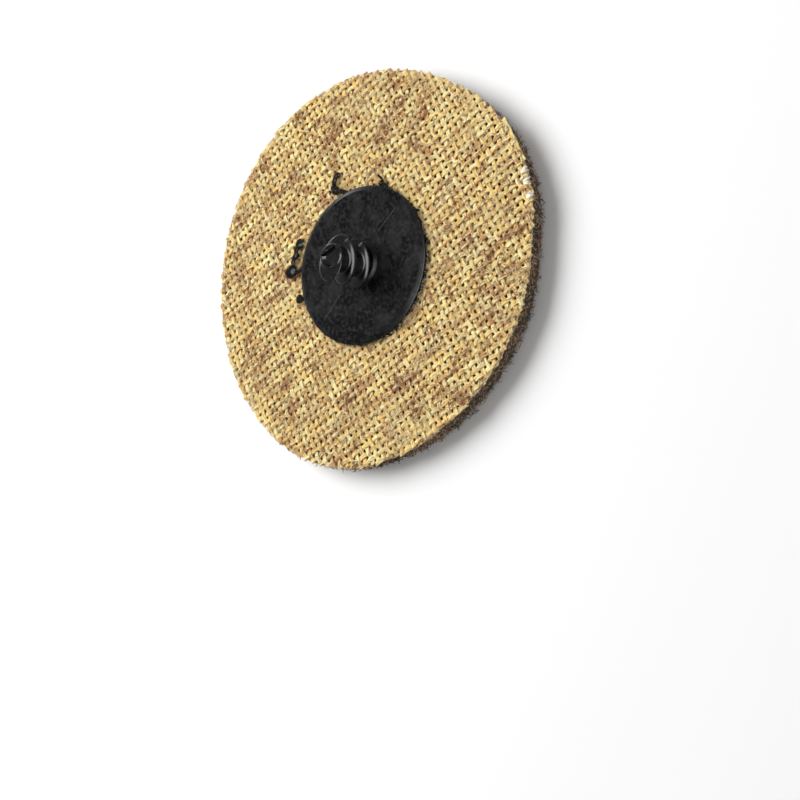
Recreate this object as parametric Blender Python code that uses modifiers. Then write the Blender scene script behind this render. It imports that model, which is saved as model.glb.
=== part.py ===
"""Surface conditioning disc, 76 mm across, with a screw-in drive button.

The disc lies on its abrasive face with the button up. Its origin is the middle of
that face, +Z runs up the button's axis, and the cloth's yarns run along X and Y.
From the bottom up it is a non-woven abrasive web, a plain-woven backing cloth, a
layer of black bonding plastic that has squeezed out in curls, and a moulded button
with a coarse threaded stub.
"""

import math
import random

import bmesh
import bpy
from mathutils import Matrix, Vector

MM = 0.001

# Room left between pieces that touch
GAP = 0.3 * MM

# Abrasive web
DISC_RADIUS = 38.0 * MM
WEB_THICKNESS = 3.7 * MM
WEB_SHOULDER = 1.3 * MM
WEB_RAGGED = 0.45 * MM
WEB_SEGMENTS = 64
FACE_PITS = 40
FACE_PIT_RADIUS = 1.3 * MM
FACE_PIT_DEPTH = 1.1 * MM
PIT_FREE_CENTRE = 3.0 * MM
RIM_NOTCHES = 18
RIM_NOTCH_RADIUS = 0.8 * MM

# Woven backing cloth
CLOTH_THICKNESS = 1.0 * MM
WARP_PITCH = 1.446 * MM
WEFT_PITCH = 1.38 * MM
YARN_RELIEF = 0.5 * MM
WEFT_DROP = 0.12 * MM
CLOTH_SEGMENTS = 72
OPEN_GAPS = 30
OPEN_GAP_WIDTH = 0.5 * MM
SEAT_DEPTH = 0.6 * MM

# Bonding plastic under and around the button
BOND_THICKNESS = 0.3 * MM
BOND_MARGIN = 0.35 * MM
BOND_RIPPLE = 0.12 * MM
BOND_SEGMENTS = 60
CURL_RADIUS = 0.27 * MM
CURL_HEIGHT = 0.65 * MM

# Drive button: round flange
FLANGE_RADIUS = 15.0 * MM
FLANGE_THICKNESS = 1.1 * MM
FLANGE_ROUND = 0.55 * MM
FLANGE_CHAMFER = 0.25 * MM
FOOT_RECESS_RADIUS = 4.9 * MM
FOOT_RECESS_DEPTH = 0.4 * MM
FOOT_RECESS_SLOPE = 0.9 * MM
BUTTON_STEPS = 48

# Drive button: threaded stub
STUB_HEIGHT = 8.3 * MM
CORE_RADIUS = 2.35 * MM
TIP_ROUND = 0.3 * MM
TIP_RIM = 0.5 * MM
TIP_DISH = 0.6 * MM
THREAD_LONG_RADIUS = 4.6 * MM
THREAD_SHORT_RADIUS = 3.3 * MM
THREAD_LONG_AZIMUTH = math.radians(-40)
THREAD_PITCH = 4.0 * MM
THREAD_LEAD = 0.3 * MM
THREAD_NOSE = 0.65 * MM
THREAD_ROOT = 1.15 * MM
THREAD_BELOW_TIP = 0.05 * MM
THREAD_STEPS_PER_TURN = 30
PARTING_OFFSET = 0.85 * MM
PARTING_TURN = math.radians(10)
PARTING_STEP = 0.45 * MM

# Heights worked out from the sizes above
CLOTH_BOTTOM = WEB_THICKNESS + GAP
CLOTH_TOP = CLOTH_BOTTOM + CLOTH_THICKNESS
SEAT_FLOOR = CLOTH_TOP - SEAT_DEPTH
BOND_BOTTOM = SEAT_FLOOR + GAP
BOND_TOP = BOND_BOTTOM + BOND_THICKNESS
FLANGE_BOTTOM = BOND_TOP + GAP
FLANGE_TOP = FLANGE_BOTTOM + FLANGE_THICKNESS
STUB_TOP = FLANGE_TOP + STUB_HEIGHT

# Squeezed-out tongues of bonding plastic: azimuth, how far out, how wide
BOND_TONGUES = (
    (168, 0.75 * MM, 4.5),
    (132, 0.60 * MM, 4.0),
    (240, 0.85 * MM, 4.5),
    (258, 0.70 * MM, 3.5),
    (96, 0.40 * MM, 3.5),
    (66, 0.25 * MM, 3.0),
    (30, 0.30 * MM, 4.0),
    (-6, 0.35 * MM, 3.0),
    (216, 0.25 * MM, 6.0),
)

# Curls that lie on the cloth: how far past the flange and azimuth of each point
BOND_CURLS = (
    ((0.75, 238.5), (2.3, 239.0), (3.2, 238.7), (2.9, 233.7), (2.4, 228.3), (2.3, 224.1), (2.2, 221.0)),
    ((0.70, 169.5), (1.4, 173.4), (2.2, 177.3), (3.2, 177.8), (4.0, 175.5), (4.8, 172.2)),
    ((0.65, 134.5), (1.4, 137.0), (2.0, 140.5)),
    ((0.75, 258.9), (1.3, 258.6), (1.7, 257.8)),
)

# Drops along the curls: how far past the flange, azimuth, radius
BOND_DROPS = (
    (3.2, 238.7, 1.00 * MM),
    (2.2, 221.0, 0.75 * MM),
    (2.2, 177.3, 0.75 * MM),
    (4.8, 172.2, 0.42 * MM),
    (2.0, 140.5, 0.40 * MM),
    (1.7, 257.8, 0.60 * MM),
)

PART_NAME = "surface_conditioning_disc"


def clear_scene() -> None:
    """Remove every object that is in the file."""
    for item in list(bpy.data.objects):
        bpy.data.objects.remove(item, do_unlink=True)


def make_collection(name: str) -> bpy.types.Collection:
    """Make a collection in the scene."""
    group = bpy.data.collections.new(name)
    bpy.context.scene.collection.children.link(group)
    return group


def make_material(name: str, colour: tuple, roughness: float) -> bpy.types.Material:
    """Make a plain non-metallic material."""
    material = bpy.data.materials.new(name)
    material.use_nodes = True
    shader = material.node_tree.nodes["Principled BSDF"]
    shader.inputs["Base Color"].default_value = (*colour, 1.0)
    shader.inputs["Roughness"].default_value = roughness
    shader.inputs["Metallic"].default_value = 0.0
    material.diffuse_color = (*colour, 1.0)
    return material


def add_object(name: str, mesh: bpy.types.Mesh, group: bpy.types.Collection) -> bpy.types.Object:
    """Put a mesh in a collection as a new object."""
    item = bpy.data.objects.new(name, mesh)
    group.objects.link(item)
    return item


def object_from_bmesh(name: str, bm: bmesh.types.BMesh, group: bpy.types.Collection) -> bpy.types.Object:
    """Turn a bmesh into an object, with its faces pointing outwards."""
    bmesh.ops.recalc_face_normals(bm, faces=bm.faces)
    mesh = bpy.data.meshes.new(name)
    bm.to_mesh(mesh)
    bm.free()
    return add_object(name, mesh, group)


def finish(item: bpy.types.Object, material: bpy.types.Material, smooth: bool = True) -> None:
    """Give an object its material and, if it is round, smooth shading."""
    item.data.materials.append(material)
    if smooth:
        item.data.shade_smooth()
        item.data.set_sharp_from_angle(angle=math.radians(35))


def as_cutter(item: bpy.types.Object) -> bpy.types.Object:
    """Mark an object as a tool that only shapes others."""
    item.hide_render = True
    item.display_type = "WIRE"
    return item


def add_boolean(item: bpy.types.Object, tool: bpy.types.Object, operation: str) -> None:
    """Cut, join or trim an object with a tool."""
    modifier = item.modifiers.new(f"{operation.lower()}_{tool.name}", "BOOLEAN")
    modifier.operation = operation
    modifier.solver = "EXACT"
    modifier.object = tool


def baked(item: bpy.types.Object) -> bpy.types.Object:
    """Replace an object's mesh or curve by its evaluated mesh, with loose caps welded."""
    graph = bpy.context.evaluated_depsgraph_get()
    mesh = bpy.data.meshes.new_from_object(item.evaluated_get(graph))
    bm = bmesh.new()
    bm.from_mesh(mesh)
    bmesh.ops.remove_doubles(bm, verts=bm.verts, dist=0.001 * MM)
    bm.to_mesh(mesh)
    bm.free()
    solid = add_object(f"{item.name}_solid", mesh, item.users_collection[0])
    solid.matrix_world = item.matrix_world
    bpy.data.objects.remove(item, do_unlink=True)
    return solid


def polar(radius: float, azimuth: float, height: float) -> Vector:
    """Give a point by its radius, azimuth in radians and height."""
    return Vector((radius * math.cos(azimuth), radius * math.sin(azimuth), height))


def arc(centre: tuple, radius: float, start: float, end: float, steps: int) -> list:
    """Give points on an arc in a profile's plane, angles in degrees."""
    points = []
    for step in range(steps + 1):
        angle = math.radians(start + (end - start) * step / steps)
        points.append((centre[0] + radius * math.cos(angle), centre[1] + radius * math.sin(angle)))
    return points


def turned(name: str, profile: list, steps: int, group: bpy.types.Collection) -> bpy.types.Object:
    """Turn a profile of radius and height points about Z. It runs from top to bottom."""
    bm = bmesh.new()
    corners = [bm.verts.new((radius, 0.0, height)) for radius, height in profile]
    for upper, lower in zip(corners, corners[1:]):
        bm.edges.new((upper, lower))
    mesh = bpy.data.meshes.new(name)
    bm.to_mesh(mesh)
    bm.free()
    item = add_object(name, mesh, group)
    screw = item.modifiers.new("turn", "SCREW")
    screw.steps = steps
    screw.render_steps = steps
    screw.use_merge_vertices = True
    screw.merge_threshold = 0.00001
    return item


def plate(name: str, outline: list, bottom: float, top: float, group: bpy.types.Collection) -> bpy.types.Object:
    """Extrude a flat outline, given as points at any height, between two heights."""
    bm = bmesh.new()
    base = bm.faces.new([bm.verts.new((point.x, point.y, bottom)) for point in outline])
    lifted = bmesh.ops.extrude_face_region(bm, geom=[base])["geom"]
    corners = [element for element in lifted if isinstance(element, bmesh.types.BMVert)]
    bmesh.ops.translate(bm, verts=corners, vec=(0.0, 0.0, top - bottom))
    return object_from_bmesh(name, bm, group)


def scattered(count: int, low: float, high: float, spacing: float, dice: random.Random) -> list:
    """Pick points on a ring between two radii, no two closer than the spacing."""
    points = []
    for _ in range(count * 60):
        radius = math.sqrt(dice.uniform(low * low, high * high))
        point = polar(radius, dice.uniform(0.0, math.tau), 0.0)
        if all((point - other).length > spacing for other in points):
            points.append(point)
        if len(points) == count:
            break
    return points


def web_profile() -> list:
    """Give the web's section, from the middle of its top to the middle of its face."""
    edge = DISC_RADIUS - WEB_RAGGED
    shoulder = arc((edge - WEB_SHOULDER, WEB_SHOULDER), WEB_SHOULDER, 0, -90, 3)
    upper = [(0.0, WEB_THICKNESS), (edge, WEB_THICKNESS), (edge, (WEB_THICKNESS + WEB_SHOULDER) / 2)]
    return upper + shoulder + [(0.0, 0.0)]


def make_web(group: bpy.types.Collection, tools: bpy.types.Collection) -> bpy.types.Object:
    """Make the non-woven web: a thick round pad with a ragged rim and open pits."""
    dice = random.Random(11)
    body = baked(turned("abrasive_web", web_profile(), WEB_SEGMENTS, group))
    body.name = "abrasive_web"
    for corner in body.data.vertices:
        radius = math.hypot(corner.co.x, corner.co.y)
        if radius > DISC_RADIUS - WEB_RAGGED - 1.01 * WEB_SHOULDER and radius > 0.0:
            scale = (radius + dice.uniform(-WEB_RAGGED, WEB_RAGGED)) / radius
            corner.co.x *= scale
            corner.co.y *= scale
    add_boolean(body, make_pit_cutter(tools), "DIFFERENCE")
    add_boolean(body, make_notch_cutter(tools), "DIFFERENCE")
    return body


def make_pit_cutter(tools: bpy.types.Collection) -> bpy.types.Object:
    """Make the tool for the open pits between the fibres of the working face."""
    dice = random.Random(5)
    bm = bmesh.new()
    outer = DISC_RADIUS - WEB_RAGGED - WEB_SHOULDER - 1.5 * FACE_PIT_RADIUS
    for point in scattered(FACE_PITS, PIT_FREE_CENTRE, outer, 2.8 * FACE_PIT_RADIUS, dice):
        depth = FACE_PIT_DEPTH * dice.uniform(0.6, 1.0)
        width = FACE_PIT_RADIUS * dice.uniform(0.6, 1.0)
        turn = Matrix.Rotation(dice.uniform(0.0, math.tau), 4, "Z")
        stretch = Matrix.Diagonal((1.0, dice.uniform(0.5, 0.9), 1.0, 1.0))
        place = Matrix.Translation(point)
        bmesh.ops.create_cone(
            bm, cap_ends=True, segments=5, radius1=width, radius2=0.35 * width,
            depth=2.0 * depth, matrix=place @ turn @ stretch)
    return as_cutter(object_from_bmesh("face_pits", bm, tools))


def make_notch_cutter(tools: bpy.types.Collection) -> bpy.types.Object:
    """Make the tool for the hollows where the web's rim is torn between its fibres."""
    dice = random.Random(8)
    bm = bmesh.new()
    for index in range(RIM_NOTCHES):
        azimuth = math.tau * (index + dice.uniform(-0.25, 0.25)) / RIM_NOTCHES
        height = dice.uniform(WEB_SHOULDER, WEB_THICKNESS - RIM_NOTCH_RADIUS)
        size = RIM_NOTCH_RADIUS * dice.uniform(0.7, 1.0)
        stretch = Matrix.Diagonal((1.0, dice.uniform(1.0, 2.2), 1.0, 1.0))
        place = Matrix.Translation(polar(DISC_RADIUS, azimuth, height))
        turn = Matrix.Rotation(azimuth, 4, "Z")
        bmesh.ops.create_icosphere(bm, subdivisions=1, radius=size, matrix=place @ turn @ stretch)
    return as_cutter(object_from_bmesh("rim_notches", bm, tools))


def make_woven_sheet(group: bpy.types.Collection) -> bpy.types.Object:
    """Make a square of plain weave: a crown at each crossing and a hollow in each mesh."""
    columns = 2 * math.ceil(DISC_RADIUS / WARP_PITCH) + 2
    rows = 2 * math.ceil(DISC_RADIUS / WEFT_PITCH) + 2
    reach = Matrix.Diagonal((columns * WARP_PITCH / 2, rows * WEFT_PITCH / 2, 1.0, 1.0))
    bm = bmesh.new()
    bmesh.ops.create_grid(bm, x_segments=columns, y_segments=rows, size=1.0, matrix=reach)
    for crossing in bm.verts:
        column = round(crossing.co.x / WARP_PITCH)
        row = round(crossing.co.y / WEFT_PITCH)
        crossing.co.z = CLOTH_TOP - WEFT_DROP * ((column + row) % 2)
    hollows = bmesh.ops.poke(bm, faces=bm.faces)["verts"]
    for hollow in hollows:
        hollow.co.z = CLOTH_TOP - YARN_RELIEF
    edges = [edge for edge in bm.edges if edge.is_boundary]
    skirt = bmesh.ops.extrude_edge_only(bm, edges=edges)["geom"]
    for element in skirt:
        if isinstance(element, bmesh.types.BMVert):
            element.co.z = CLOTH_BOTTOM
    rim = [edge for edge in bm.edges if edge.is_boundary]
    bmesh.ops.contextual_create(bm, geom=rim)
    return object_from_bmesh("scrim_backing", bm, group)


def make_cloth(group: bpy.types.Collection, tools: bpy.types.Collection) -> bpy.types.Object:
    """Make the backing cloth: woven, punched out round, with its seat and open meshes."""
    cloth = make_woven_sheet(group)
    bm = bmesh.new()
    height = 4.0 * CLOTH_THICKNESS
    middle = Matrix.Translation((0.0, 0.0, (CLOTH_TOP + CLOTH_BOTTOM) / 2))
    bmesh.ops.create_cone(
        bm, cap_ends=True, segments=CLOTH_SEGMENTS, radius1=DISC_RADIUS,
        radius2=DISC_RADIUS, depth=height, matrix=middle)
    die = as_cutter(object_from_bmesh("round_die", bm, tools))
    seat_outline = bond_outline(GAP)
    seat = as_cutter(plate("bond_seat", seat_outline, SEAT_FLOOR, CLOTH_TOP + CLOTH_THICKNESS, tools))
    add_boolean(cloth, die, "INTERSECT")
    add_boolean(cloth, seat, "DIFFERENCE")
    add_boolean(cloth, make_gap_cutter(tools), "DIFFERENCE")
    return cloth


def make_gap_cutter(tools: bpy.types.Collection) -> bpy.types.Object:
    """Make the tool for the meshes that are open right through the cloth."""
    dice = random.Random(23)
    inner = FLANGE_RADIUS + 5.0 * WARP_PITCH
    outer = DISC_RADIUS - 2.0 * WARP_PITCH
    bm = bmesh.new()
    for point in scattered(OPEN_GAPS, inner, outer, 2.0 * WARP_PITCH, dice):
        column = math.floor(point.x / WARP_PITCH) + 0.5
        row = math.floor(point.y / WEFT_PITCH) + 0.5
        spot = Vector((column * WARP_PITCH, row * WEFT_PITCH, (CLOTH_TOP + CLOTH_BOTTOM) / 2))
        size = Matrix.Diagonal((OPEN_GAP_WIDTH, OPEN_GAP_WIDTH, 4.0 * CLOTH_THICKNESS, 1.0))
        bmesh.ops.create_cube(bm, size=1.0, matrix=Matrix.Translation(spot) @ size)
    return as_cutter(object_from_bmesh("open_meshes", bm, tools))


def bond_outline(extra: float) -> list:
    """Give the outline of the bonding plastic, grown by an extra margin."""
    dice = random.Random(3)
    outline = []
    for index in range(BOND_SEGMENTS):
        azimuth = 360.0 * index / BOND_SEGMENTS
        reach = FLANGE_RADIUS + BOND_MARGIN + BOND_RIPPLE * dice.uniform(-1.0, 1.0)
        for centre, length, spread in BOND_TONGUES:
            turn = (azimuth - centre + 180.0) % 360.0 - 180.0
            reach += length * math.exp(-((turn / spread) ** 2))
        outline.append(polar(reach + extra, math.radians(azimuth), 0.0))
    return outline


def make_curl(index: int, points: tuple, tools: bpy.types.Collection) -> bpy.types.Object:
    """Make one curl of bonding plastic: a bent round string that starts in the layer."""
    curve = bpy.data.curves.new(f"bond_curl_{index}", "CURVE")
    curve.dimensions = "3D"
    curve.bevel_depth = CURL_RADIUS
    curve.bevel_resolution = 1
    curve.use_fill_caps = True
    spline = curve.splines.new("POLY")
    spline.points.add(len(points) - 1)
    for step, (past, azimuth) in enumerate(points):
        rise = min(1.0, step)
        height = BOND_TOP + rise * (CLOTH_TOP + CURL_HEIGHT - BOND_TOP)
        place = polar(FLANGE_RADIUS + past * MM, math.radians(azimuth), height)
        spline.points[step].co = (*place, 1.0)
    return as_cutter(baked(add_object(curve.name, curve, tools)))


def make_bond(group: bpy.types.Collection, tools: bpy.types.Collection) -> bpy.types.Object:
    """Make the layer of bonding plastic, with the curls and drops that it left."""
    bond = plate("bond_layer", bond_outline(0.0), BOND_BOTTOM, BOND_TOP, group)
    for index, points in enumerate(BOND_CURLS):
        add_boolean(bond, make_curl(index, points, tools), "UNION")
    bm = bmesh.new()
    for past, azimuth, radius in BOND_DROPS:
        height = CLOTH_TOP + CURL_HEIGHT
        place = Matrix.Translation(polar(FLANGE_RADIUS + past * MM, math.radians(azimuth), height))
        flat = Matrix.Diagonal((1.0, 1.0, (CURL_HEIGHT - GAP) / radius, 1.0))
        bmesh.ops.create_icosphere(bm, subdivisions=2, radius=radius, matrix=place @ flat)
    add_boolean(bond, as_cutter(object_from_bmesh("bond_drops", bm, tools)), "UNION")
    return bond


def button_profile() -> list:
    """Give the section of the flange and the stub's core, from tip to underside."""
    tip_edge = (CORE_RADIUS - TIP_ROUND, STUB_TOP - TIP_ROUND)
    rim_edge = (FLANGE_RADIUS - FLANGE_ROUND, FLANGE_TOP - FLANGE_ROUND)
    dish_radius = CORE_RADIUS - TIP_ROUND - TIP_RIM
    recess_floor = FLANGE_TOP - FOOT_RECESS_DEPTH
    profile = [(0.0, STUB_TOP - TIP_DISH), (dish_radius, STUB_TOP - TIP_DISH)]
    profile += [(dish_radius + 0.4 * TIP_RIM, STUB_TOP)]
    profile += arc(tip_edge, TIP_ROUND, 90, 0, 2)
    profile += [(CORE_RADIUS, recess_floor)]
    profile += [(FOOT_RECESS_RADIUS - FOOT_RECESS_SLOPE, recess_floor)]
    profile += [(FOOT_RECESS_RADIUS, FLANGE_TOP)]
    profile += arc(rim_edge, FLANGE_ROUND, 90, 0, 2)
    profile += [(FLANGE_RADIUS, FLANGE_BOTTOM + FLANGE_CHAMFER)]
    profile += [(FLANGE_RADIUS - FLANGE_CHAMFER, FLANGE_BOTTOM), (0.0, FLANGE_BOTTOM)]
    return profile


def thread_reach(azimuth: float) -> float:
    """Give the crest's radius: the thread is oval, so that it leaves the two-part mould."""
    turn = azimuth - THREAD_LONG_AZIMUTH
    return 1.0 / math.hypot(math.cos(turn) / THREAD_LONG_RADIUS, math.sin(turn) / THREAD_SHORT_RADIUS)


def thread_section(crest: float) -> list:
    """Give the thread ridge's section as radius and height about its middle line.

    It is a round nose on splayed flanks, rooted inside the core. Its nose ends at the
    crest's radius.
    """
    root_radius = 0.7 * CORE_RADIUS
    nose = arc((crest - THREAD_NOSE, 0.0), THREAD_NOSE, 65, -65, 3)
    return [(root_radius, THREAD_ROOT)] + nose + [(root_radius, -THREAD_ROOT)]


def make_thread(tools: bpy.types.Collection) -> bpy.types.Object:
    """Make the right-hand thread ridge, lofted along its helix.

    It rises out of the foot recess and climbs past the tip, where the trim cuts it off
    flush, so that its last turn ends as a point in the tip's face.
    """
    rise = THREAD_PITCH / math.tau
    first = -(THREAD_LEAD + FOOT_RECESS_DEPTH + THREAD_ROOT) / rise
    last = (STUB_HEIGHT - THREAD_LEAD + 1.1 * THREAD_ROOT) / rise
    steps = round(THREAD_STEPS_PER_TURN * (last - first) / math.tau)
    bm = bmesh.new()
    rings = []
    for step in range(steps + 1):
        angle = first + (last - first) * step / steps
        middle = FLANGE_TOP + THREAD_LEAD + rise * angle
        section = thread_section(thread_reach(angle))
        rings.append([bm.verts.new(polar(radius, angle, middle + height)) for radius, height in section])
    count = len(rings[0])
    for ring, following in zip(rings, rings[1:]):
        for index in range(count):
            beside = (index + 1) % count
            bm.faces.new((ring[index], ring[beside], following[beside], following[index]))
    bm.faces.new(rings[0])
    bm.faces.new(rings[-1])
    thread = as_cutter(object_from_bmesh("thread_ridge", bm, tools))
    add_boolean(thread, make_trim("thread_trim", THREAD_BELOW_TIP, tools), "INTERSECT")
    return thread


def make_trim(name: str, below: float, tools: bpy.types.Collection) -> bpy.types.Object:
    """Make a round block from inside the flange to a little below the stub's tip."""
    bottom = FLANGE_BOTTOM + FLANGE_THICKNESS / 4
    top = STUB_TOP - below
    bm = bmesh.new()
    bmesh.ops.create_cone(
        bm, cap_ends=True, segments=24, radius1=2.0 * THREAD_LONG_RADIUS, radius2=2.0 * THREAD_LONG_RADIUS,
        depth=top - bottom, matrix=Matrix.Translation((0.0, 0.0, (top + bottom) / 2)))
    return as_cutter(object_from_bmesh(name, bm, tools))


def make_parting_cutter(tools: bpy.types.Collection) -> bpy.types.Object:
    """Make the tool for the step at the tip, where one half of the mould fell short."""
    size = 2.0 * THREAD_LONG_RADIUS
    bm = bmesh.new()
    spot = (-PARTING_OFFSET - size / 2, 0.0, STUB_TOP - PARTING_STEP + size / 2)
    turn = Matrix.Rotation(PARTING_TURN, 4, "Z")
    bmesh.ops.create_cube(bm, size=size, matrix=turn @ Matrix.Translation(spot))
    return as_cutter(object_from_bmesh("parting_step", bm, tools))


def make_button(group: bpy.types.Collection, tools: bpy.types.Collection) -> bpy.types.Object:
    """Make the drive button: one moulding of flange, foot recess and threaded stub."""
    button = turned("drive_button", button_profile(), BUTTON_STEPS, group)
    add_boolean(button, make_thread(tools), "UNION")
    add_boolean(button, make_parting_cutter(tools), "DIFFERENCE")
    return button


def main() -> None:
    """Build the disc from its face up."""
    clear_scene()
    group = make_collection(PART_NAME)
    tools = make_collection(f"{PART_NAME}_cutters")
    web = make_material("abrasive_web", (0.095, 0.069, 0.042), 0.95)
    cloth = make_material("scrim_cloth", (0.546, 0.381, 0.165), 0.9)
    bond = make_material("bond_plastic", (0.009, 0.008, 0.007), 0.3)
    button = make_material("button_plastic", (0.0194, 0.0194, 0.0203), 0.5)
    finish(make_web(group, tools), web)
    finish(make_cloth(group, tools), cloth, smooth=False)
    finish(make_bond(group, tools), bond)
    finish(make_button(group, tools), button)


main()
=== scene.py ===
"""Looks of a 76 mm surface conditioning disc that lies on its abrasive face, button up.

Every yarn of the backing cloth, the fibres needled through it, the torn web at the
rim and on the working face, the squeezed-out bonding plastic and the moulded button
are modelled here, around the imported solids.
"""

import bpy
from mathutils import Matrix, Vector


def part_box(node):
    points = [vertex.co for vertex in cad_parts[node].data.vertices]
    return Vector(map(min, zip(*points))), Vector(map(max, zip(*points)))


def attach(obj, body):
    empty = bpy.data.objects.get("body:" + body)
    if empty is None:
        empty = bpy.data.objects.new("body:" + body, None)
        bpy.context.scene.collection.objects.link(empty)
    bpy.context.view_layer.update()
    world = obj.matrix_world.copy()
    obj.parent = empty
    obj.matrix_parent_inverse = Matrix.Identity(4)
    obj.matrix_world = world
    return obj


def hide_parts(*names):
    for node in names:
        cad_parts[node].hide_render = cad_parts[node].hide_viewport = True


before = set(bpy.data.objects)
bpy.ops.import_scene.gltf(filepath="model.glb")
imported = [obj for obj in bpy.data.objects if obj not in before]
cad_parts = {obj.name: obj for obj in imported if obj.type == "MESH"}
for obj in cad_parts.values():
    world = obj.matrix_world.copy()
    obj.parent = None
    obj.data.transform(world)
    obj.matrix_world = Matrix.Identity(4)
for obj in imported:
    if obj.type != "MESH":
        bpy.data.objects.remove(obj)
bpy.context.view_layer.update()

import logging
import math
import random
from dataclasses import dataclass, replace
from enum import Enum, IntEnum

import bmesh
import bpy
from mathutils import Matrix, Vector, noise

log = logging.getLogger("disc")
logging.basicConfig(level=logging.INFO, format="%(message)s")

MM = 0.001
BODY = "root"
# Corners closer than this are one
WELD = 0.0002 * MM
DISC_RADIUS = 38.0 * MM
PLY_SPACING = 0.27 * MM
# Where the disc was really cut: distance from the button's axis in mm, every 15 degrees from +X
CUT_RADII = (
    37.1, 37.1, 37.5, 37.8, 37.9, 38.8, 39.0, 38.3, 37.5, 37.4, 37.6, 37.8,
    38.1, 38.3, 38.1, 37.9, 37.7, 37.6, 37.6, 37.8, 38.2, 38.3, 38.0, 37.3)
WEB_SHIFT = Vector((0.20 * MM, -0.05 * MM, 0.0))
Pair = tuple[float, float]
Triple = tuple[float, float, float]
Profile = list[Pair]
Strand = list[tuple[Vector, float]]


class Thread(Enum):
    """The two sets of yarns in the cloth, by the axis that they run along."""

    WARP = "y"
    WEFT = "x"


class Seed(IntEnum):
    """Seeds of the pieces that are laid by chance."""

    WARP = 17
    WEFT = 19
    BROWN = 41
    PALE = 43
    COLLAR = 47
    RIM_DARK = 51
    RIM_TAN = 53
    FACE_DARK = 57
    FACE_TAN = 59
    WHITE = 61
    FUZZ = 71


# Small geometry helpers


def polar(radius: float, azimuth: float, height: float = 0.0) -> Vector:
    """Give a point from its radius, its azimuth in radians anticlockwise from +X, and its height."""
    return Vector((radius * math.cos(azimuth), radius * math.sin(azimuth), height))


def arc(centre: Pair, radius: float, start: float, end: float, steps: int) -> Profile:
    """Give radius and height pairs along an arc in a profile's plane, between two angles in degrees."""
    angles = [math.radians(start + (end - start) * step / steps) for step in range(steps + 1)]
    return [(centre[0] + radius * math.cos(a), centre[1] + radius * math.sin(a)) for a in angles]


def stretch_points(start: Pair, end: Pair, steps: int) -> Profile:
    """Give evenly spaced points from one profile point to another, without the first."""
    shares = [(step + 1) / steps for step in range(steps)]
    return [(start[0] + (end[0] - start[0]) * s, start[1] + (end[1] - start[1]) * s) for s in shares]


def cut_radius(azimuth: float) -> float:
    """Give the distance from the axis to the cut rim.

    Args:
        azimuth: Angle from +X in radians.

    Returns:
        The distance, eased between the known radii.
    """
    share, index = math.modf(azimuth % math.tau / math.tau * len(CUT_RADII))
    before = CUT_RADII[int(index) % len(CUT_RADII)]
    after = CUT_RADII[(int(index) + 1) % len(CUT_RADII)]
    return (before + (after - before) * share * share * (3.0 - 2.0 * share)) * MM


def spread(place: Vector, factor: float) -> None:
    """Move a point away from the Z axis by a factor of its distance."""
    place.x *= factor
    place.y *= factor


def follow_cut(place: Vector) -> None:
    """Move a point so that a circle of the disc's radius would land on the cut rim."""
    spread(place, cut_radius(math.atan2(place.y, place.x)) / DISC_RADIUS)


def linked(name: str, data: bpy.types.ID | None) -> bpy.types.Object:
    """Put data in the scene as an object at the origin.

    Args:
        name: Name of the object.
        data: A mesh, curve, lamp or camera.

    Returns:
        The new object.
    """
    item = bpy.data.objects.new(name, data)
    bpy.context.scene.collection.objects.link(item)
    return item


def link_mesh(name: str, mesh: bpy.types.Mesh, smooth: float | None = None) -> bpy.types.Object:
    """Put a mesh in the scene as an object at the origin.

    Args:
        name: Name of the object.
        mesh: The mesh.
        smooth: Angle in degrees above which an edge stays sharp, or None for all smooth.

    Returns:
        The new object.
    """
    mesh.shade_smooth()
    if smooth is not None:
        mesh.set_sharp_from_angle(angle=math.radians(smooth))
    return linked(name, mesh)


def solid_from(name: str, bm: bmesh.types.BMesh, smooth: float | None = None) -> bpy.types.Object:
    """Turn a bmesh into an object, doubles merged and faces pointing outwards.

    Args:
        name: Name of the object.
        bm: The bmesh, which is freed.
        smooth: Angle in degrees above which an edge stays sharp.

    Returns:
        The new object.
    """
    bmesh.ops.remove_doubles(bm, verts=bm.verts, dist=WELD)
    bmesh.ops.recalc_face_normals(bm, faces=bm.faces)
    mesh = bpy.data.meshes.new(name)
    bm.to_mesh(mesh)
    bm.free()
    return link_mesh(name, mesh, smooth)


def baked_mesh(item: bpy.types.Object) -> bpy.types.Mesh:
    """Give the evaluated mesh of an object and remove the object.

    Args:
        item: The object with its modifiers.

    Returns:
        The mesh.
    """
    graph = bpy.context.evaluated_depsgraph_get()
    mesh = bpy.data.meshes.new_from_object(item.evaluated_get(graph))
    bpy.data.objects.remove(item, do_unlink=True)
    return mesh


def turned(profile: Profile, steps: int) -> bmesh.types.BMesh:
    """Spin a profile about Z.

    Args:
        profile: Radius and height pairs that begin and end on the axis.
        steps: Number of stretches round the turn.

    Returns:
        A closed bmesh.
    """
    bm = bmesh.new()
    corners = [bm.verts.new((radius, 0.0, height)) for radius, height in profile]
    edges = [bm.edges.new(pair) for pair in zip(corners, corners[1:])]
    bmesh.ops.spin(
        bm, geom=corners + edges, cent=(0, 0, 0), axis=(0, 0, 1), dvec=(0, 0, 0),
        angle=math.tau, steps=steps, use_merge=True)
    bmesh.ops.remove_doubles(bm, verts=bm.verts, dist=WELD)
    bmesh.ops.recalc_face_normals(bm, faces=bm.faces)
    return bm


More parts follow.
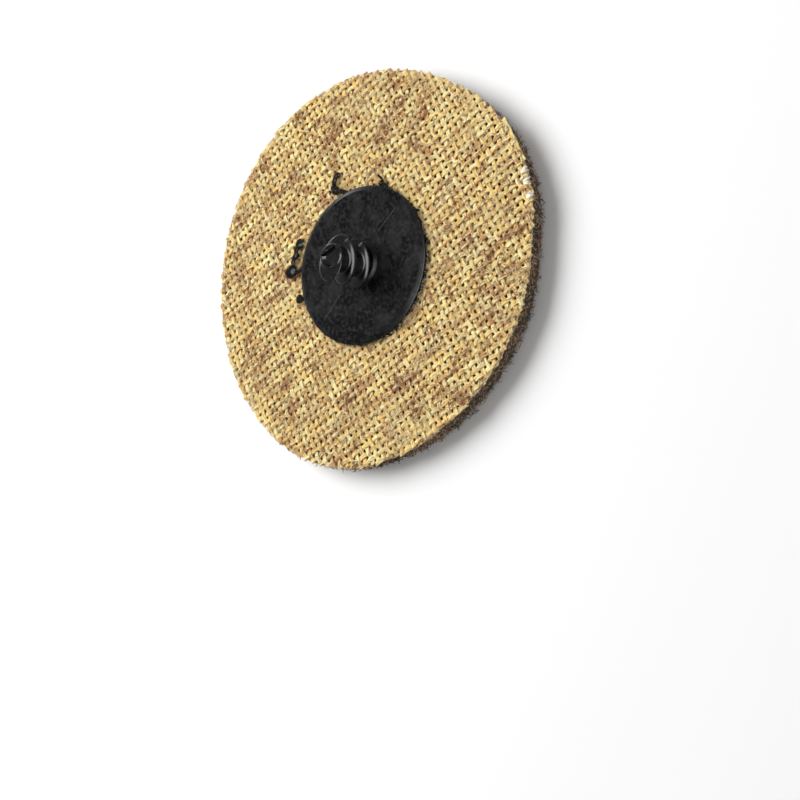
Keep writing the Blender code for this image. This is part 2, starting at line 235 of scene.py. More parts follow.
@dataclass(frozen=True)
class Section:
    """Cross-section of a strand."""

    half_width: float
    half_height: float
    corners: int

    def ring(self) -> bpy.types.Object:
        """Make the closed curve that a strand is swept with.

        Returns:
            The curve's object, which the sweep removes.
        """
        curve = bpy.data.curves.new("strand_ring", "CURVE")
        spline = curve.splines.new("POLY")
        spline.points.add(self.corners - 1)
        spline.use_cyclic_u = True
        for index, point in enumerate(spline.points):
            angle = math.tau * (index + 0.5) / self.corners
            point.co = (self.half_width * math.cos(angle), self.half_height * math.sin(angle), 0, 1)
        return linked("strand_ring", curve)


def sweep(name: str, strands: list[Strand], section: Section, upright: bool = False) -> bpy.types.Object:
    """Sweep a section along many strands and close their ends.

    Args:
        name: Name of the object.
        strands: Each strand's points, each with its width factor.
        section: Cross-section of the strands.
        upright: Keep the section's height along Z.

    Returns:
        One object that holds every strand as a closed tube.
    """
    ring = section.ring()
    curve = bpy.data.curves.new(name, "CURVE")
    curve.dimensions = "3D"
    curve.twist_mode = "Z_UP" if upright else "MINIMUM"
    curve.bevel_mode = "OBJECT"
    curve.bevel_object = ring
    curve.use_fill_caps = True
    for strand in strands:
        spline = curve.splines.new("POLY")
        spline.points.add(len(strand) - 1)
        for point, (place, width) in zip(spline.points, strand):
            point.co = (*place, 1.0)
            point.radius = width
    bm = bmesh.new()
    bm.from_mesh(baked_mesh(linked(name, curve)))
    bpy.data.objects.remove(ring, do_unlink=True)
    return solid_from(name, bm)


def dress(item: bpy.types.Object, material: bpy.types.Material, slot: str, *nodes: str) -> None:
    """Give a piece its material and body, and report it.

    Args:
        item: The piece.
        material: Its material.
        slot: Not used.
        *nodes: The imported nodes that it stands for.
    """
    item.data.materials.clear()
    item.data.materials.append(material)
    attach(item, BODY)
    if nodes:
        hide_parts(*nodes)
    log.info("%s: %d faces", item.name, len(item.data.polygons))


# Shader node groups and finishes


class Graph:
    """A node tree that is filled a node at a time."""

    def __init__(self, tree: bpy.types.NodeTree) -> None:
        """Keep the tree."""
        self.tree = tree

    def fill(self, node: bpy.types.Node, inputs: dict) -> bpy.types.Node:
        """Set inputs of a node.

        Args:
            node: The node.
            inputs: Socket names or numbers, each with a value or a socket to link from.

        Returns:
            The node.
        """
        for key, value in inputs.items():
            if isinstance(value, bpy.types.NodeSocket):
                self.tree.links.new(value, node.inputs[key])
            else:
                node.inputs[key].default_value = value
        return node

    def node(self, kind: str, inputs: dict | None = None, **settings: object) -> bpy.types.Node:
        """Add a node.

        Args:
            kind: Type of the node.
            inputs: Its inputs, as in fill.
            **settings: Properties of the node.

        Returns:
            The node.
        """
        node = self.tree.nodes.new(kind)
        for name, value in settings.items():
            setattr(node, name, value)
        return self.fill(node, inputs or {})

    def math(self, operation: str, first: object, second: object = 0.0) -> bpy.types.NodeSocket:
        """Add a math node and give its output."""
        return self.node("ShaderNodeMath", {0: first, 1: second}, operation=operation).outputs[0]

    def vector(self, operation: str, first: object, second: object) -> bpy.types.Node:
        """Add a vector math node."""
        return self.node("ShaderNodeVectorMath", {0: first, 1: second}, operation=operation)

    def mix(self, share: object, first: object, second: object, blend: str = "MIX") -> bpy.types.NodeSocket:
        """Add a colour mix and give its output."""
        inputs = {0: share, 6: first, 7: second}
        return self.node("ShaderNodeMix", inputs, data_type="RGBA", blend_type=blend).outputs[2]

    def group(self, tree: bpy.types.NodeTree, inputs: dict) -> bpy.types.Node:
        """Place a node group with its own values."""
        return self.node("ShaderNodeGroup", inputs, node_tree=tree)


def new_group(name: str, inputs: dict[str, object], output: str, kind: str) -> tuple[Graph, dict]:
    """Start a shader node group with named inputs and one output.

    Args:
        name: Name of the group.
        inputs: Socket names with their defaults: a number, a vector, or None for a link.
        output: Name of the output.
        kind: Type of the output, Float or Vector.

    Returns:
        A graph to fill the group with, and the inputs' sockets by name.
    """
    tree = bpy.data.node_groups.new(name, "ShaderNodeTree")
    for key, default in inputs.items():
        sort = "NodeSocketFloat" if isinstance(default, float) else "NodeSocketVector"
        socket = tree.interface.new_socket(key, in_out="INPUT", socket_type=sort)
        if default is not None:
            socket.default_value = default
    tree.interface.new_socket(output, in_out="OUTPUT", socket_type="NodeSocket" + kind)
    graph = Graph(tree)
    return graph, dict(graph.node("NodeGroupInput").outputs.items())


def mottle_group() -> bpy.types.NodeTree:
    """Build the group for patches of a second colour, which may be drawn out along an axis.

    Returns:
        The group.
    """
    graph, source = new_group("mottle", {
        "Vector": None, "Stretch": (1, 1, 1), "Scale": 200.0, "Low": 0.45, "High": 0.6, "Detail": 4.0},
        "Mask", "Float")
    drawn = graph.vector("MULTIPLY", source["Vector"], source["Stretch"])
    cloud = graph.node("ShaderNodeTexNoise", {
        "Vector": drawn.outputs[0], "Scale": source["Scale"], "Detail": source["Detail"], "Roughness": 0.6})
    ramp = graph.node("ShaderNodeMapRange", {
        "Value": cloud.outputs["Fac"], "From Min": source["Low"], "From Max": source["High"]},
        interpolation_type="SMOOTHSTEP")
    graph.node("NodeGroupOutput", {"Mask": ramp.outputs["Result"]})
    return graph.tree


def grain_group() -> bpy.types.NodeTree:
    """Build the group for fine relief: a bump from noise at two scales.

    Returns:
        The group.
    """
    graph, source = new_group("grain", {
        "Vector": None, "Scale": 900.0, "Coarse": 0.35, "Strength": 0.4, "Depth": 0.05 * MM},
        "Normal", "Vector")
    fine = graph.node("ShaderNodeTexNoise", {
        "Vector": source["Vector"], "Scale": source["Scale"], "Detail": 3.0})
    broad = graph.node("ShaderNodeTexNoise", {
        "Vector": source["Vector"], "Scale": graph.math("MULTIPLY", source["Scale"], 0.22), "Detail": 2.0})
    lift = graph.math("MULTIPLY", broad.outputs["Fac"], source["Coarse"])
    bump = graph.node("ShaderNodeBump", {
        "Strength": source["Strength"], "Distance": source["Depth"],
        "Height": graph.math("ADD", fine.outputs["Fac"], lift)})
    graph.node("NodeGroupOutput", {"Normal": bump.outputs["Normal"]})
    return graph.tree


def near_group() -> bpy.types.NodeTree:
    """Build the group that masks what lies near a place, seen from above.

    Returns:
        The group.
    """
    graph, source = new_group("near_place", {
        "Vector": None, "Place": (0, 0, 0), "Reach": 4.0 * MM, "Ragged": 2.0 * MM}, "Mask", "Float")
    flat = graph.vector("MULTIPLY", source["Vector"], (1, 1, 0))
    away = graph.vector("DISTANCE", flat.outputs[0], source["Place"])
    edge = graph.node("ShaderNodeTexNoise", {"Vector": source["Vector"], "Scale": 300.0, "Detail": 3.0})
    wave = graph.math("MULTIPLY", edge.outputs["Fac"], source["Ragged"])
    ramp = graph.node("ShaderNodeMapRange", {
        "Value": graph.math("ADD", away.outputs["Value"], wave), "From Min": source["Reach"],
        "From Max": 0.0}, interpolation_type="SMOOTHSTEP")
    graph.node("NodeGroupOutput", {"Mask": ramp.outputs["Result"]})
    return graph.tree


def tone_group() -> bpy.types.NodeTree:
    """Build the group that gives each yarn a tone of its own, from its place across the set.

    Returns:
        The group.
    """
    graph, source = new_group("yarn_tone", {"Vector": None, "Axis": (1, 0, 0)}, "Tone", "Float")
    across = graph.vector("DOT_PRODUCT", source["Vector"], source["Axis"])
    number = graph.math("ROUND", across.outputs["Value"])
    chance = graph.node("ShaderNodeTexWhiteNoise", {"W": number}, noise_dimensions="1D")
    graph.node("NodeGroupOutput", {"Tone": chance.outputs["Value"]})
    return graph.tree


class Groups:
    """The shader node groups that the finishes share."""

    def __init__(self) -> None:
        """Build each group once."""
        self.mottle = mottle_group()
        self.grain = grain_group()
        self.near = near_group()
        self.tone = tone_group()


def rgba(colour: Triple) -> tuple[float, float, float, float]:
    """Add a full alpha to a colour."""
    return (*colour, 1.0)


class Look:
    """A material in the making, with the place that its patterns read."""

    def __init__(self, name: str, groups: Groups) -> None:
        """Start the material.

        Args:
            name: Name of the material.
            groups: The shared node groups.
        """
        self.material = bpy.data.materials.new(name)
        self.material.use_nodes = True
        self.groups = groups
        self.graph = Graph(self.material.node_tree)
        self.place = self.graph.node("ShaderNodeTexCoord").outputs["Object"]

    def patches(self, amount: object, scale: float, limits: Pair,
                stretch: Triple = (1.0, 1.0, 1.0), detail: float = 4.0) -> bpy.types.NodeSocket:
        """Add a mask of patches.

        Args:
            amount: What the mask is multiplied by, a value or a socket.
            scale: Scale of the patches.
            limits: Where in the noise a patch begins, and where it is full.
            stretch: Factor of the scale along each axis.
            detail: Detail of the noise.

        Returns:
            The mask.
        """
        mask = self.graph.group(self.groups.mottle, {
            "Vector": self.place, "Stretch": stretch, "Scale": scale, "Low": limits[0],
            "High": limits[1], "Detail": detail})
        return self.graph.math("MULTIPLY", mask.outputs["Mask"], amount)

    def close(self, colour: object, roughness: object, specular: float, grain: dict) -> bpy.types.Material:
        """Connect the shader.

        Args:
            colour: Base colour.
            roughness: Roughness, a value or a socket.
            specular: Specular level.
            grain: Values of the fine relief.

        Returns:
            The material.
        """
        relief = self.graph.group(self.groups.grain, {"Vector": self.place, "Strength": 0.5, **grain})
        self.graph.fill(self.material.node_tree.nodes["Principled BSDF"], {
            "Base Color": colour, "Roughness": roughness, "Specular IOR Level": specular,
            "Normal": relief.outputs["Normal"]})
        return self.material


@dataclass(frozen=True)
class FibreFinish:
    """A matt finish of fibres: a base colour with drawn-out patches and fine flecks."""

    name: str
    base: Triple
    patch: Triple
    fleck: Triple
    patch_scale: float = 220.0
    patch_stretch: Triple = (1.0, 1.0, 1.0)
    patch_range: Pair = (0.48, 0.62)
    patch_amount: float = 0.6
    streak_scale: float = 950.0
    streak_stretch: Triple = (1.0, 0.2, 1.0)
    streak_range: Pair = (0.54, 0.64)
    streak_amount: float = 0.0
    fleck_scale: float = 1500.0
    fleck_stretch: Triple = (1.0, 1.0, 1.0)
    fleck_range: Pair = (0.55, 0.7)
    fleck_amount: float = 0.5
    roughness: float = 0.85
    specular: float = 0.3
    relief: float = 0.05 * MM
    yarn_axis: Triple | None = None
    yarn_spread: float = 0.3

    def material(self, groups: Groups) -> bpy.types.Material:
        """Build the material.

        Args:
            groups: The shared node groups.

        Returns:
            The material.
        """
        look = Look(self.name, groups)
        graph = look.graph
        patched = look.patches(self.patch_amount, self.patch_scale, self.patch_range, self.patch_stretch)
        flecked = look.patches(
            self.fleck_amount, self.fleck_scale, self.fleck_range, self.fleck_stretch, detail=2.0)
        streaked = look.patches(
            self.streak_amount, self.streak_scale, self.streak_range, self.streak_stretch, detail=3.0)
        colour = graph.mix(patched, rgba(self.base), rgba(self.patch))
        colour = graph.mix(flecked, colour, rgba(self.fleck))
        colour = graph.mix(streaked, colour, rgba(self.patch))
        if self.yarn_axis is not None:
            tone = graph.group(groups.tone, {"Vector": look.place, "Axis": self.yarn_axis})
            share = graph.math("MULTIPLY", tone.outputs["Tone"], self.yarn_spread)
            colour = graph.mix(share, colour, rgba(self.patch), "MULTIPLY")
        return look.close(
            colour, self.roughness, self.specular, {"Scale": self.fleck_scale, "Depth": self.relief})


@dataclass(frozen=True)
class PlasticFinish:
    """A moulded plastic finish: satin, with dust, broad sheen changes, a smoother spot with painted shade,
    and fine relief.
    """

    name: str
    base: Triple
    dust: Triple
    roughness: Pair = (0.38, 0.6)
    dust_amount: float = 0.5
    dust_scale: float = 900.0
    dust_range: Pair = (0.62, 0.72)
    haze_amount: float = 0.3
    haze_scale: float = 160.0
    haze_range: Pair = (0.38, 0.66)
    veil: float = 0.12
    # A smoother spot where the lighter veil is left out, so its colour is darker: painted shade
    shaded_smooth_place: Triple = (0.0, 0.0, 0.0)
    shaded_smooth_reach: float = 0.001 * MM
    relief: float = 0.02 * MM
    relief_scale: float = 1200.0
    specular: float = 0.3

    def material(self, groups: Groups) -> bpy.types.Material:
        """Build the material.

        Args:
            groups: The shared node groups.

        Returns:
            The material.
        """
        look = Look(self.name, groups)
        graph = look.graph
        # Painted shade: round the given place the lighter veil is left out, and the plastic is smoother
        # there
        smooth_shaded_mask = graph.group(groups.near, {
            "Vector": look.place, "Place": self.shaded_smooth_place, "Reach": self.shaded_smooth_reach})
        rest = graph.math("SUBTRACT", 1.0, smooth_shaded_mask.outputs["Mask"])
        hazy = look.patches(rest, self.haze_scale, self.haze_range, detail=8.0)
        hazed = graph.math("MULTIPLY", hazy, self.haze_amount)
        specked = look.patches(self.dust_amount, self.dust_scale, self.dust_range, detail=2.0)
        veil = graph.mix(self.veil, rgba(self.base), rgba(self.dust))
        colour = graph.mix(hazed, rgba(self.base), veil)
        colour = graph.mix(specked, colour, rgba(self.dust))
        rough = graph.node("ShaderNodeMapRange", {
            "Value": hazy, "To Min": self.roughness[0], "To Max": self.roughness[1]})
        return look.close(colour, rough.outputs["Result"], self.specular, {
            "Scale": self.relief_scale, "Depth": self.relief, "Coarse": 0.8})


# Finishes by piece
WARP_FINISH = FibreFinish(
    "warp_yarn", base=(0.99, 0.75, 0.28), patch=(0.44, 0.18, 0.072), fleck=(1.0, 0.94, 0.52),
    patch_scale=330.0, patch_stretch=(1.0, 0.5, 1.0), patch_range=(0.51, 0.62), patch_amount=0.72,
    streak_amount=0.6, fleck_stretch=(1.0, 0.22, 1.0), fleck_range=(0.45, 0.57), fleck_amount=0.9,
    yarn_axis=(1.0 / PLY_SPACING, 0.0, 0.0), yarn_spread=0.35)
WEFT_FINISH = replace(
    WARP_FINISH, name="weft_yarn", base=(0.98, 0.73, 0.26), fleck=(1.0, 0.93, 0.50),
    fleck_stretch=(0.22, 1.0, 1.0), yarn_axis=(0.0, 1.0 / PLY_SPACING, 0.0))
WHITE_END_FINISH = FibreFinish(
    "white_cut_end", base=(0.95, 0.93, 0.86), patch=(0.80, 0.74, 0.60), fleck=(1.0, 1.0, 0.97),
    patch_amount=0.3)
GROUND_FINISH = FibreFinish(
    "needled_ground", base=(0.075, 0.042, 0.017), patch=(0.36, 0.21, 0.09), fleck=(0.16, 0.09, 0.04),
    patch_scale=420.0, patch_range=(0.52, 0.64), patch_amount=0.8, fleck_scale=2200.0)
BROWN_FIBRE_FINISH = FibreFinish(
    "brown_fibre", base=(0.40, 0.18, 0.085), patch=(0.17, 0.07, 0.035), fleck=(0.66, 0.38, 0.22),
    patch_scale=380.0, fleck_scale=700.0, roughness=0.55)
PALE_FIBRE_FINISH = FibreFinish(
    "pale_fibre", base=(0.90, 0.74, 0.42), patch=(0.66, 0.42, 0.18), fleck=(0.97, 0.90, 0.66),
    patch_scale=380.0, fleck_scale=700.0, roughness=0.5)
WEB_FINISH = FibreFinish(
    "abrasive_web", base=(0.090, 0.052, 0.028), patch=(0.012, 0.008, 0.006), fleck=(0.40, 0.26, 0.14),
    patch_scale=520.0, patch_range=(0.46, 0.6), patch_amount=0.8, fleck_scale=2600.0,
    fleck_range=(0.52, 0.66), fleck_amount=0.7, roughness=0.8, relief=0.12 * MM)
DARK_FIBRE_FINISH = FibreFinish(
    "dark_web_fibre", base=(0.085, 0.055, 0.033), patch=(0.02, 0.014, 0.009), fleck=(0.28, 0.19, 0.11),
    patch_scale=420.0, fleck_scale=2400.0, roughness=0.65)
TAN_FIBRE_FINISH = FibreFinish(
    "tan_web_fibre", base=(0.72, 0.47, 0.25), patch=(0.26, 0.14, 0.065), fleck=(0.95, 0.78, 0.52),
    patch_scale=420.0, fleck_scale=2400.0, roughness=0.6)
# The flange is painted darker, and made smoother, round its dent: painted shade
BUTTON_FINISH = PlasticFinish(
    "button_plastic", base=(0.0014, 0.0015, 0.0024), dust=(0.085, 0.084, 0.083),
    roughness=(0.24, 0.40), dust_amount=0.20, dust_scale=1250.0, dust_range=(0.42, 0.72),
    haze_amount=1.0, haze_scale=260.0, haze_range=(0.36, 0.70), veil=0.13,
    shaded_smooth_place=(10.5 * MM, -7.0 * MM, 0.0), shaded_smooth_reach=11.0 * MM, relief=0.016 * MM, specular=0.22)
STUB_FINISH = PlasticFinish(
    "stub_plastic", base=(0.0018, 0.0019, 0.0024), dust=(0.085, 0.084, 0.083),
    roughness=(0.18, 0.30), dust_amount=0.10, dust_scale=1250.0, dust_range=(0.45, 0.72),
    haze_amount=0.8, haze_scale=300.0, veil=0.06, relief=0.012 * MM, specular=0.45)
# Hairlines much lighter than the flange's black: a painted highlight along the raised lines
MOULD_LINE_HIGHLIGHT_FINISH = PlasticFinish(
    "mould_line_painted_highlight", base=(0.030, 0.030, 0.031), dust=(0.12, 0.12, 0.12), roughness=(0.3, 0.45))
BOND_FINISH = PlasticFinish(
    "bond_plastic", base=(0.005, 0.0045, 0.0042), dust=(0.07, 0.05, 0.035),
    roughness=(0.22, 0.38), dust_amount=0.2, haze_amount=0.2, relief=0.10 * MM,
    relief_scale=900.0, specular=0.28)


@dataclass
class BackingCloth:
    """Plain-woven backing cloth, a yarn at a time, with fibres needled through it."""

    warp_pitch: float = 1.446 * MM
    weft_pitch: float = 1.38 * MM
    plies: int = 3
    ply_half_width: float = 0.175 * MM
    ply_half_height: float = 0.16 * MM
    ply_wander: float = 0.10 * MM
    crimp: float = 0.15 * MM
    wander: float = 0.13 * MM
    stations: int = 3
    hidden_radius: float = 14.7 * MM
    shortest_yarn: float = 3.0 * MM
    reach_rounds: int = 8
    hair: float = 0.048 * MM
    fibre_steps: int = 6
    clear_radius: float = 15.1 * MM
    inner_start: float = 15.2 * MM
    rim_margin: float = 0.4 * MM
    clump_size: float = 2.3 * MM
    brown_fibres: int = 2600
    brown_lift: float = 0.30 * MM
    brown_length: Pair = (1.0 * MM, 3.0 * MM)
    pale_fibres: int = 1700
    pale_lift: float = 0.35 * MM
    pale_length: Pair = (1.4 * MM, 4.0 * MM)
    collar_fibres: int = 420
    collar_runs: int = 5
    # Where the collar's fibres root: smallest and largest radius in mm
    collar_ring: Pair = (15.05, 15.35)
    rim_fibres: int = 1500
    rim_runs: int = 4
    # Bleached yarn ends: azimuths in degrees
    white_end_azimuths: Triple = (80.7, 77.8, 73.3)
    white_end_plies: int = 6
    white_end_length: float = 1.2 * MM
    white_end_radii: Pair = (0.17 * MM, 0.15 * MM)
    ground_inset: float = 0.2 * MM
    ground_height: float = 0.18 * MM
    ground_relief: float = 0.12 * MM
    ground_grain: float = 0.9 * MM
    ground_rings: int = 40
    ground_segments: int = 160

    def __post_init__(self) -> None:
        """Read the cloth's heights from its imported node."""
        low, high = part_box("scrim_backing")
        self.bottom = low[2]
        self.top = high[2]
        self.middle = self.top - self.ply_half_height - self.crimp

    def yarn(self, thread: Thread, index: int, start: float, end: float) -> list[Strand]:
        """Give the plies of one stretch of a yarn, which has number 0 at the middle of its set."""
        return [self.ply(thread, index, number, start, end) for number in range(self.plies)]

    def ply(self, thread: Thread, index: int, number: int, start: float, end: float) -> Strand:
        """Give one ply, which passes over and under the yarns that it crosses.

        Args:
            thread: Which set the yarn belongs to.
            index: The yarn's place in the set, 0 at the middle.
            number: The ply's place in the yarn.
            start: Where the stretch starts along the yarn.
            end: Where it ends.

        Returns:
            The ply's points with their width factors.
        """
        across, along = self.pitches(thread)
        first = math.ceil(start / along * self.stations)
        last = math.floor(end / along * self.stations)
        shares = [start] + [step * along / self.stations for step in range(first, last + 1)] + [end]
        side, layer = (1.0, 3.0) if thread is Thread.WARP else (-1.0, 9.0)
        strand = []
        for share in shares:
            seed = Vector((index * 7.31, share / MM * 0.35, layer))
            own = Vector((index * 3.7 + number * 11.3, share / MM * 0.8, 21.0 + side))
            drift = self.wander * noise.noise(seed) + self.ply_wander * noise.noise(own)
            width = 1.0 + 0.45 * noise.noise(own * 1.3 + Vector((5.0, 0.0, 0.0)))
            wave = math.cos(math.pi * (share / along + index))
            lift = self.ply_wander * noise.noise(own + Vector((0.0, 0.0, 40.0)))
            height = self.middle + side * self.crimp * wave + lift
            offset = index * across + (number - (self.plies - 1) / 2) * PLY_SPACING + drift
            place = (offset, share, height) if thread is Thread.WARP else (share, offset, height)
            strand.append((Vector(place), width))
        return strand

    def pitches(self, thread: Thread) -> Pair:
        """Give the spacing between a set's yarns and that of the yarns it crosses."""
        pitches = (self.warp_pitch, self.weft_pitch)
        return pitches if thread is Thread.WARP else pitches[::-1]

    def yarns(self, thread: Thread) -> list[Strand]:
        """Give every yarn of a set, cut at the rim and hidden under the button.

        Args:
            thread: Which set to make.

        Returns:
            The yarns.
        """
        dice = random.Random(Seed[thread.name])
        across = self.pitches(thread)[0]
        count = math.floor(DISC_RADIUS / across) + 1
        strands = []
        for index in range(-count, count + 1):
            offset = index * across
            low = dice.uniform(-0.10, 0.25) * MM - self.reach(thread, offset, -1.0)
            high = dice.uniform(-0.25, 0.10) * MM + self.reach(thread, offset, 1.0)
            if high - low < self.shortest_yarn:
                continue
            if abs(offset) < self.hidden_radius:
                gap = math.sqrt(self.hidden_radius ** 2 - offset ** 2)
                strands += self.yarn(thread, index, low, -gap)
                strands += self.yarn(thread, index, gap, high)
            else:
                strands += self.yarn(thread, index, low, high)
        return strands

    def reach(self, thread: Thread, offset: float, side: float) -> float:
        """Find how far along a yarn the cut rim lies.

        Args:
            thread: Which set the yarn belongs to.
            offset: Place of the yarn across its set.
            side: 1.0 for the yarn's positive end, -1.0 for the other.

        Returns:
            The distance from the middle of the yarn.
        """
        far = DISC_RADIUS
        for _ in range(self.reach_rounds):
            end = (offset, side * far) if thread is Thread.WARP else (side * far, offset)
            far = math.sqrt(max(cut_radius(math.atan2(end[1], end[0])) ** 2 - offset ** 2, 0.0))
        return far

    def needled(self, count: int, seed: Seed, lift: float, length: Pair) -> list[Strand]:
        """Give fibres that come up through the cloth, bend over and lie on it.

        Args:
            count: Number of fibres.
            seed: Seed of their places.
            lift: Most that a fibre stands up.
            length: Shortest and longest fibre.

        Returns:
            The fibres.
        """
        dice = random.Random(seed)
        strands = []
        while len(strands) < count:
            azimuth = dice.uniform(0.0, math.tau)
            outer = cut_radius(azimuth) - self.rim_margin
            start = polar(math.sqrt(dice.uniform(self.inner_start ** 2, outer ** 2)), azimuth)
            clump = noise.noise(Vector((start.x, start.y * 0.55, seed * MM)) / self.clump_size)
            if dice.random() > 0.07 + 2.6 * max(clump, 0.0) ** 1.4:
                continue
            strands.append(self.fibre(start, dice, lift, length))
        return strands

    def fibre(self, start: Vector, dice: random.Random, lift: float, length: Pair) -> Strand:
        """Give one curved fibre that lies on the cloth.

        Args:
            start: Where it comes up.
            dice: Source of chance.
            lift: Most that it stands up.
            length: Shortest and longest fibre.

        Returns:
            The fibre, cut short where it meets the button or the rim.
        """
        heading = dice.choice((-1.0, 1.0)) * dice.gauss(math.pi / 2, 0.5)
        curl = dice.gauss(0.0, 0.55)
        stride = dice.uniform(*length) / self.fibre_steps
        place = start.copy()
        rise = dice.uniform(0.05, 1.0) * lift
        strand = []
        for step in range(self.fibre_steps + 1):
            share = step / self.fibre_steps
            height = self.top - 0.12 * MM + rise * math.sin(math.pi * share)
            taper = 0.55 + 0.45 * math.sin(math.pi * min(share * 1.6, 1.0) * 0.5 + 0.4)
            if not self.clear_radius < place.length < cut_radius(math.atan2(place.y, place.x)):
                break
            strand.append((Vector((place.x, place.y, height)), taper))
            heading += curl * 0.45 + dice.gauss(0.0, 0.16)
            place += Vector((math.cos(heading), math.sin(heading), 0.0)) * stride
        if len(strand) < 3:
            nudge = 1.08 if start.length < 0.5 * DISC_RADIUS else 0.95
            return self.fibre(start * nudge, dice, lift, length)
        return strand

    def collar(self) -> list[Strand]:
        """Give the fibres that stand up against the flange's wall and lean away from it.

        Returns:
            The fibres.
        """
        dice = random.Random(Seed.COLLAR)
        strands = []
        for _ in range(self.collar_fibres):
            azimuth = dice.uniform(0.0, math.tau)
            radius = dice.uniform(*self.collar_ring) * MM
            height = self.top - 0.1 * MM
            out = dice.uniform(-0.05, 0.35) if dice.random() < 0.6 else dice.uniform(0.5, 1.6)
            swing = dice.gauss(0.0, 0.5)
            strand = []
            for step in range(self.collar_runs + 1):
                share = step / self.collar_runs
                strand.append((polar(radius, azimuth, height), 1.0 - 0.55 * share))
                azimuth += swing * (0.3 + share) * 0.22 * MM / radius
                radius += out * (0.4 + 1.3 * share) * 0.35 * MM
                height += (1.0 - 1.35 * share) * 0.30 * MM
            strands.append(strand)
        return strands

    def rim_fuzz(self) -> list[Strand]:
        """Give the short fibres that lie along the cut rim and fill the gaps between yarn ends.

        Returns:
            The fibres.
        """
        dice = random.Random(Seed.FUZZ)
        strands = []
        for _ in range(self.rim_fibres):
            azimuth = dice.uniform(0.0, math.tau)
            inset = dice.uniform(0.05, 0.65) * MM
            swing = dice.choice((-1.0, 1.0)) * dice.uniform(0.25, 0.45) * MM / DISC_RADIUS
            height = dice.uniform(self.bottom + 0.35 * MM, self.top - 0.08 * MM)
            drift = dice.gauss(0.0, 0.10) * MM
            bow = dice.uniform(0.0, 0.12) * MM
            strand = []
            for step in range(self.rim_runs + 1):
                radius = cut_radius(azimuth) - max(inset - drift * step, 0.0)
                rise = bow * step * (self.rim_runs - step) / self.rim_runs
                place = polar(radius, azimuth + swing * step, height + rise)
                strand.append((place, 1.0 - 0.2 * abs(step - self.rim_runs / 2)))
            strands.append(strand)
        return strands

    def white_ends(self) -> list[Strand]:
        """Give the few bleached tufts where yarns were cut at the rim.

        Returns:
            Their plies.
        """
        dice = random.Random(Seed.WHITE)
        strands = []
        for azimuth in self.white_end_azimuths:
            for _ in range(self.white_end_plies):
                turn = math.radians(azimuth + dice.uniform(-0.6, 0.6))
                inner = polar(cut_radius(turn) - self.white_end_length, turn, self.top - 0.10 * MM)
                tip = polar(cut_radius(turn) + dice.uniform(0.0, 0.45) * MM,
                            turn + dice.uniform(-0.012, 0.012), self.top - dice.uniform(0.0, 0.35) * MM)
                strands.append([(inner, 0.7), (inner.lerp(tip, 0.5), 1.0), (tip, 0.55)])
        return strands

    def ground(self) -> bpy.types.Object:
        """Make the felted layer under the yarns that shows through the open meshes.

        Returns:
            The layer, cut like the disc.
        """
        edge = DISC_RADIUS - self.ground_inset
        height = self.bottom + self.ground_height
        profile = [(0.0, height)] + stretch_points((0.0, height), (edge, height), self.ground_rings)
        profile += [(edge, self.bottom), (0.0, self.bottom)]
        bm = turned(profile, self.ground_segments)
        for corner in bm.verts:
            if corner.co.z > self.bottom + self.ground_height / 2:
                corner.co.z += self.ground_relief * noise.noise(corner.co / self.ground_grain)
            follow_cut(corner.co)
        return solid_from("needled_ground", bm)

    def build(self, groups: Groups) -> None:
        """Build and dress the cloth.

        Args:
            groups: The shared node groups.
        """
        section = Section(self.ply_half_width, self.ply_half_height, 4)
        warp = sweep("warp_yarns", self.yarns(Thread.WARP), section, upright=True)
        weft = sweep("weft_yarns", self.yarns(Thread.WEFT), section, upright=True)
        dress(warp, WARP_FINISH.material(groups), "scrim_cloth", "scrim_backing")
        dress(weft, WEFT_FINISH.material(groups), "scrim_cloth")
        dress(self.ground(), GROUND_FINISH.material(groups), "scrim_cloth")
        white = sweep("white_cut_ends", self.white_ends(), Section(*self.white_end_radii, 5))
        dress(white, WHITE_END_FINISH.material(groups), "scrim_cloth")
        hair = Section(self.hair, self.hair, 3)
        fuzz = self.rim_fuzz()
        browns = self.needled(self.brown_fibres, Seed.BROWN, self.brown_lift, self.brown_length)
        brown = sweep("needled_fibres_brown", browns + fuzz[::3], hair)
        pales = self.needled(self.pale_fibres, Seed.PALE, self.pale_lift, self.pale_length)
        pale = sweep("needled_fibres_pale", pales + self.collar() + fuzz[1::3] + fuzz[2::3], hair)
        dress(brown, BROWN_FIBRE_FINISH.material(groups), "scrim_cloth")
        dress(pale, PALE_FIBRE_FINISH.material(groups), "scrim_cloth")


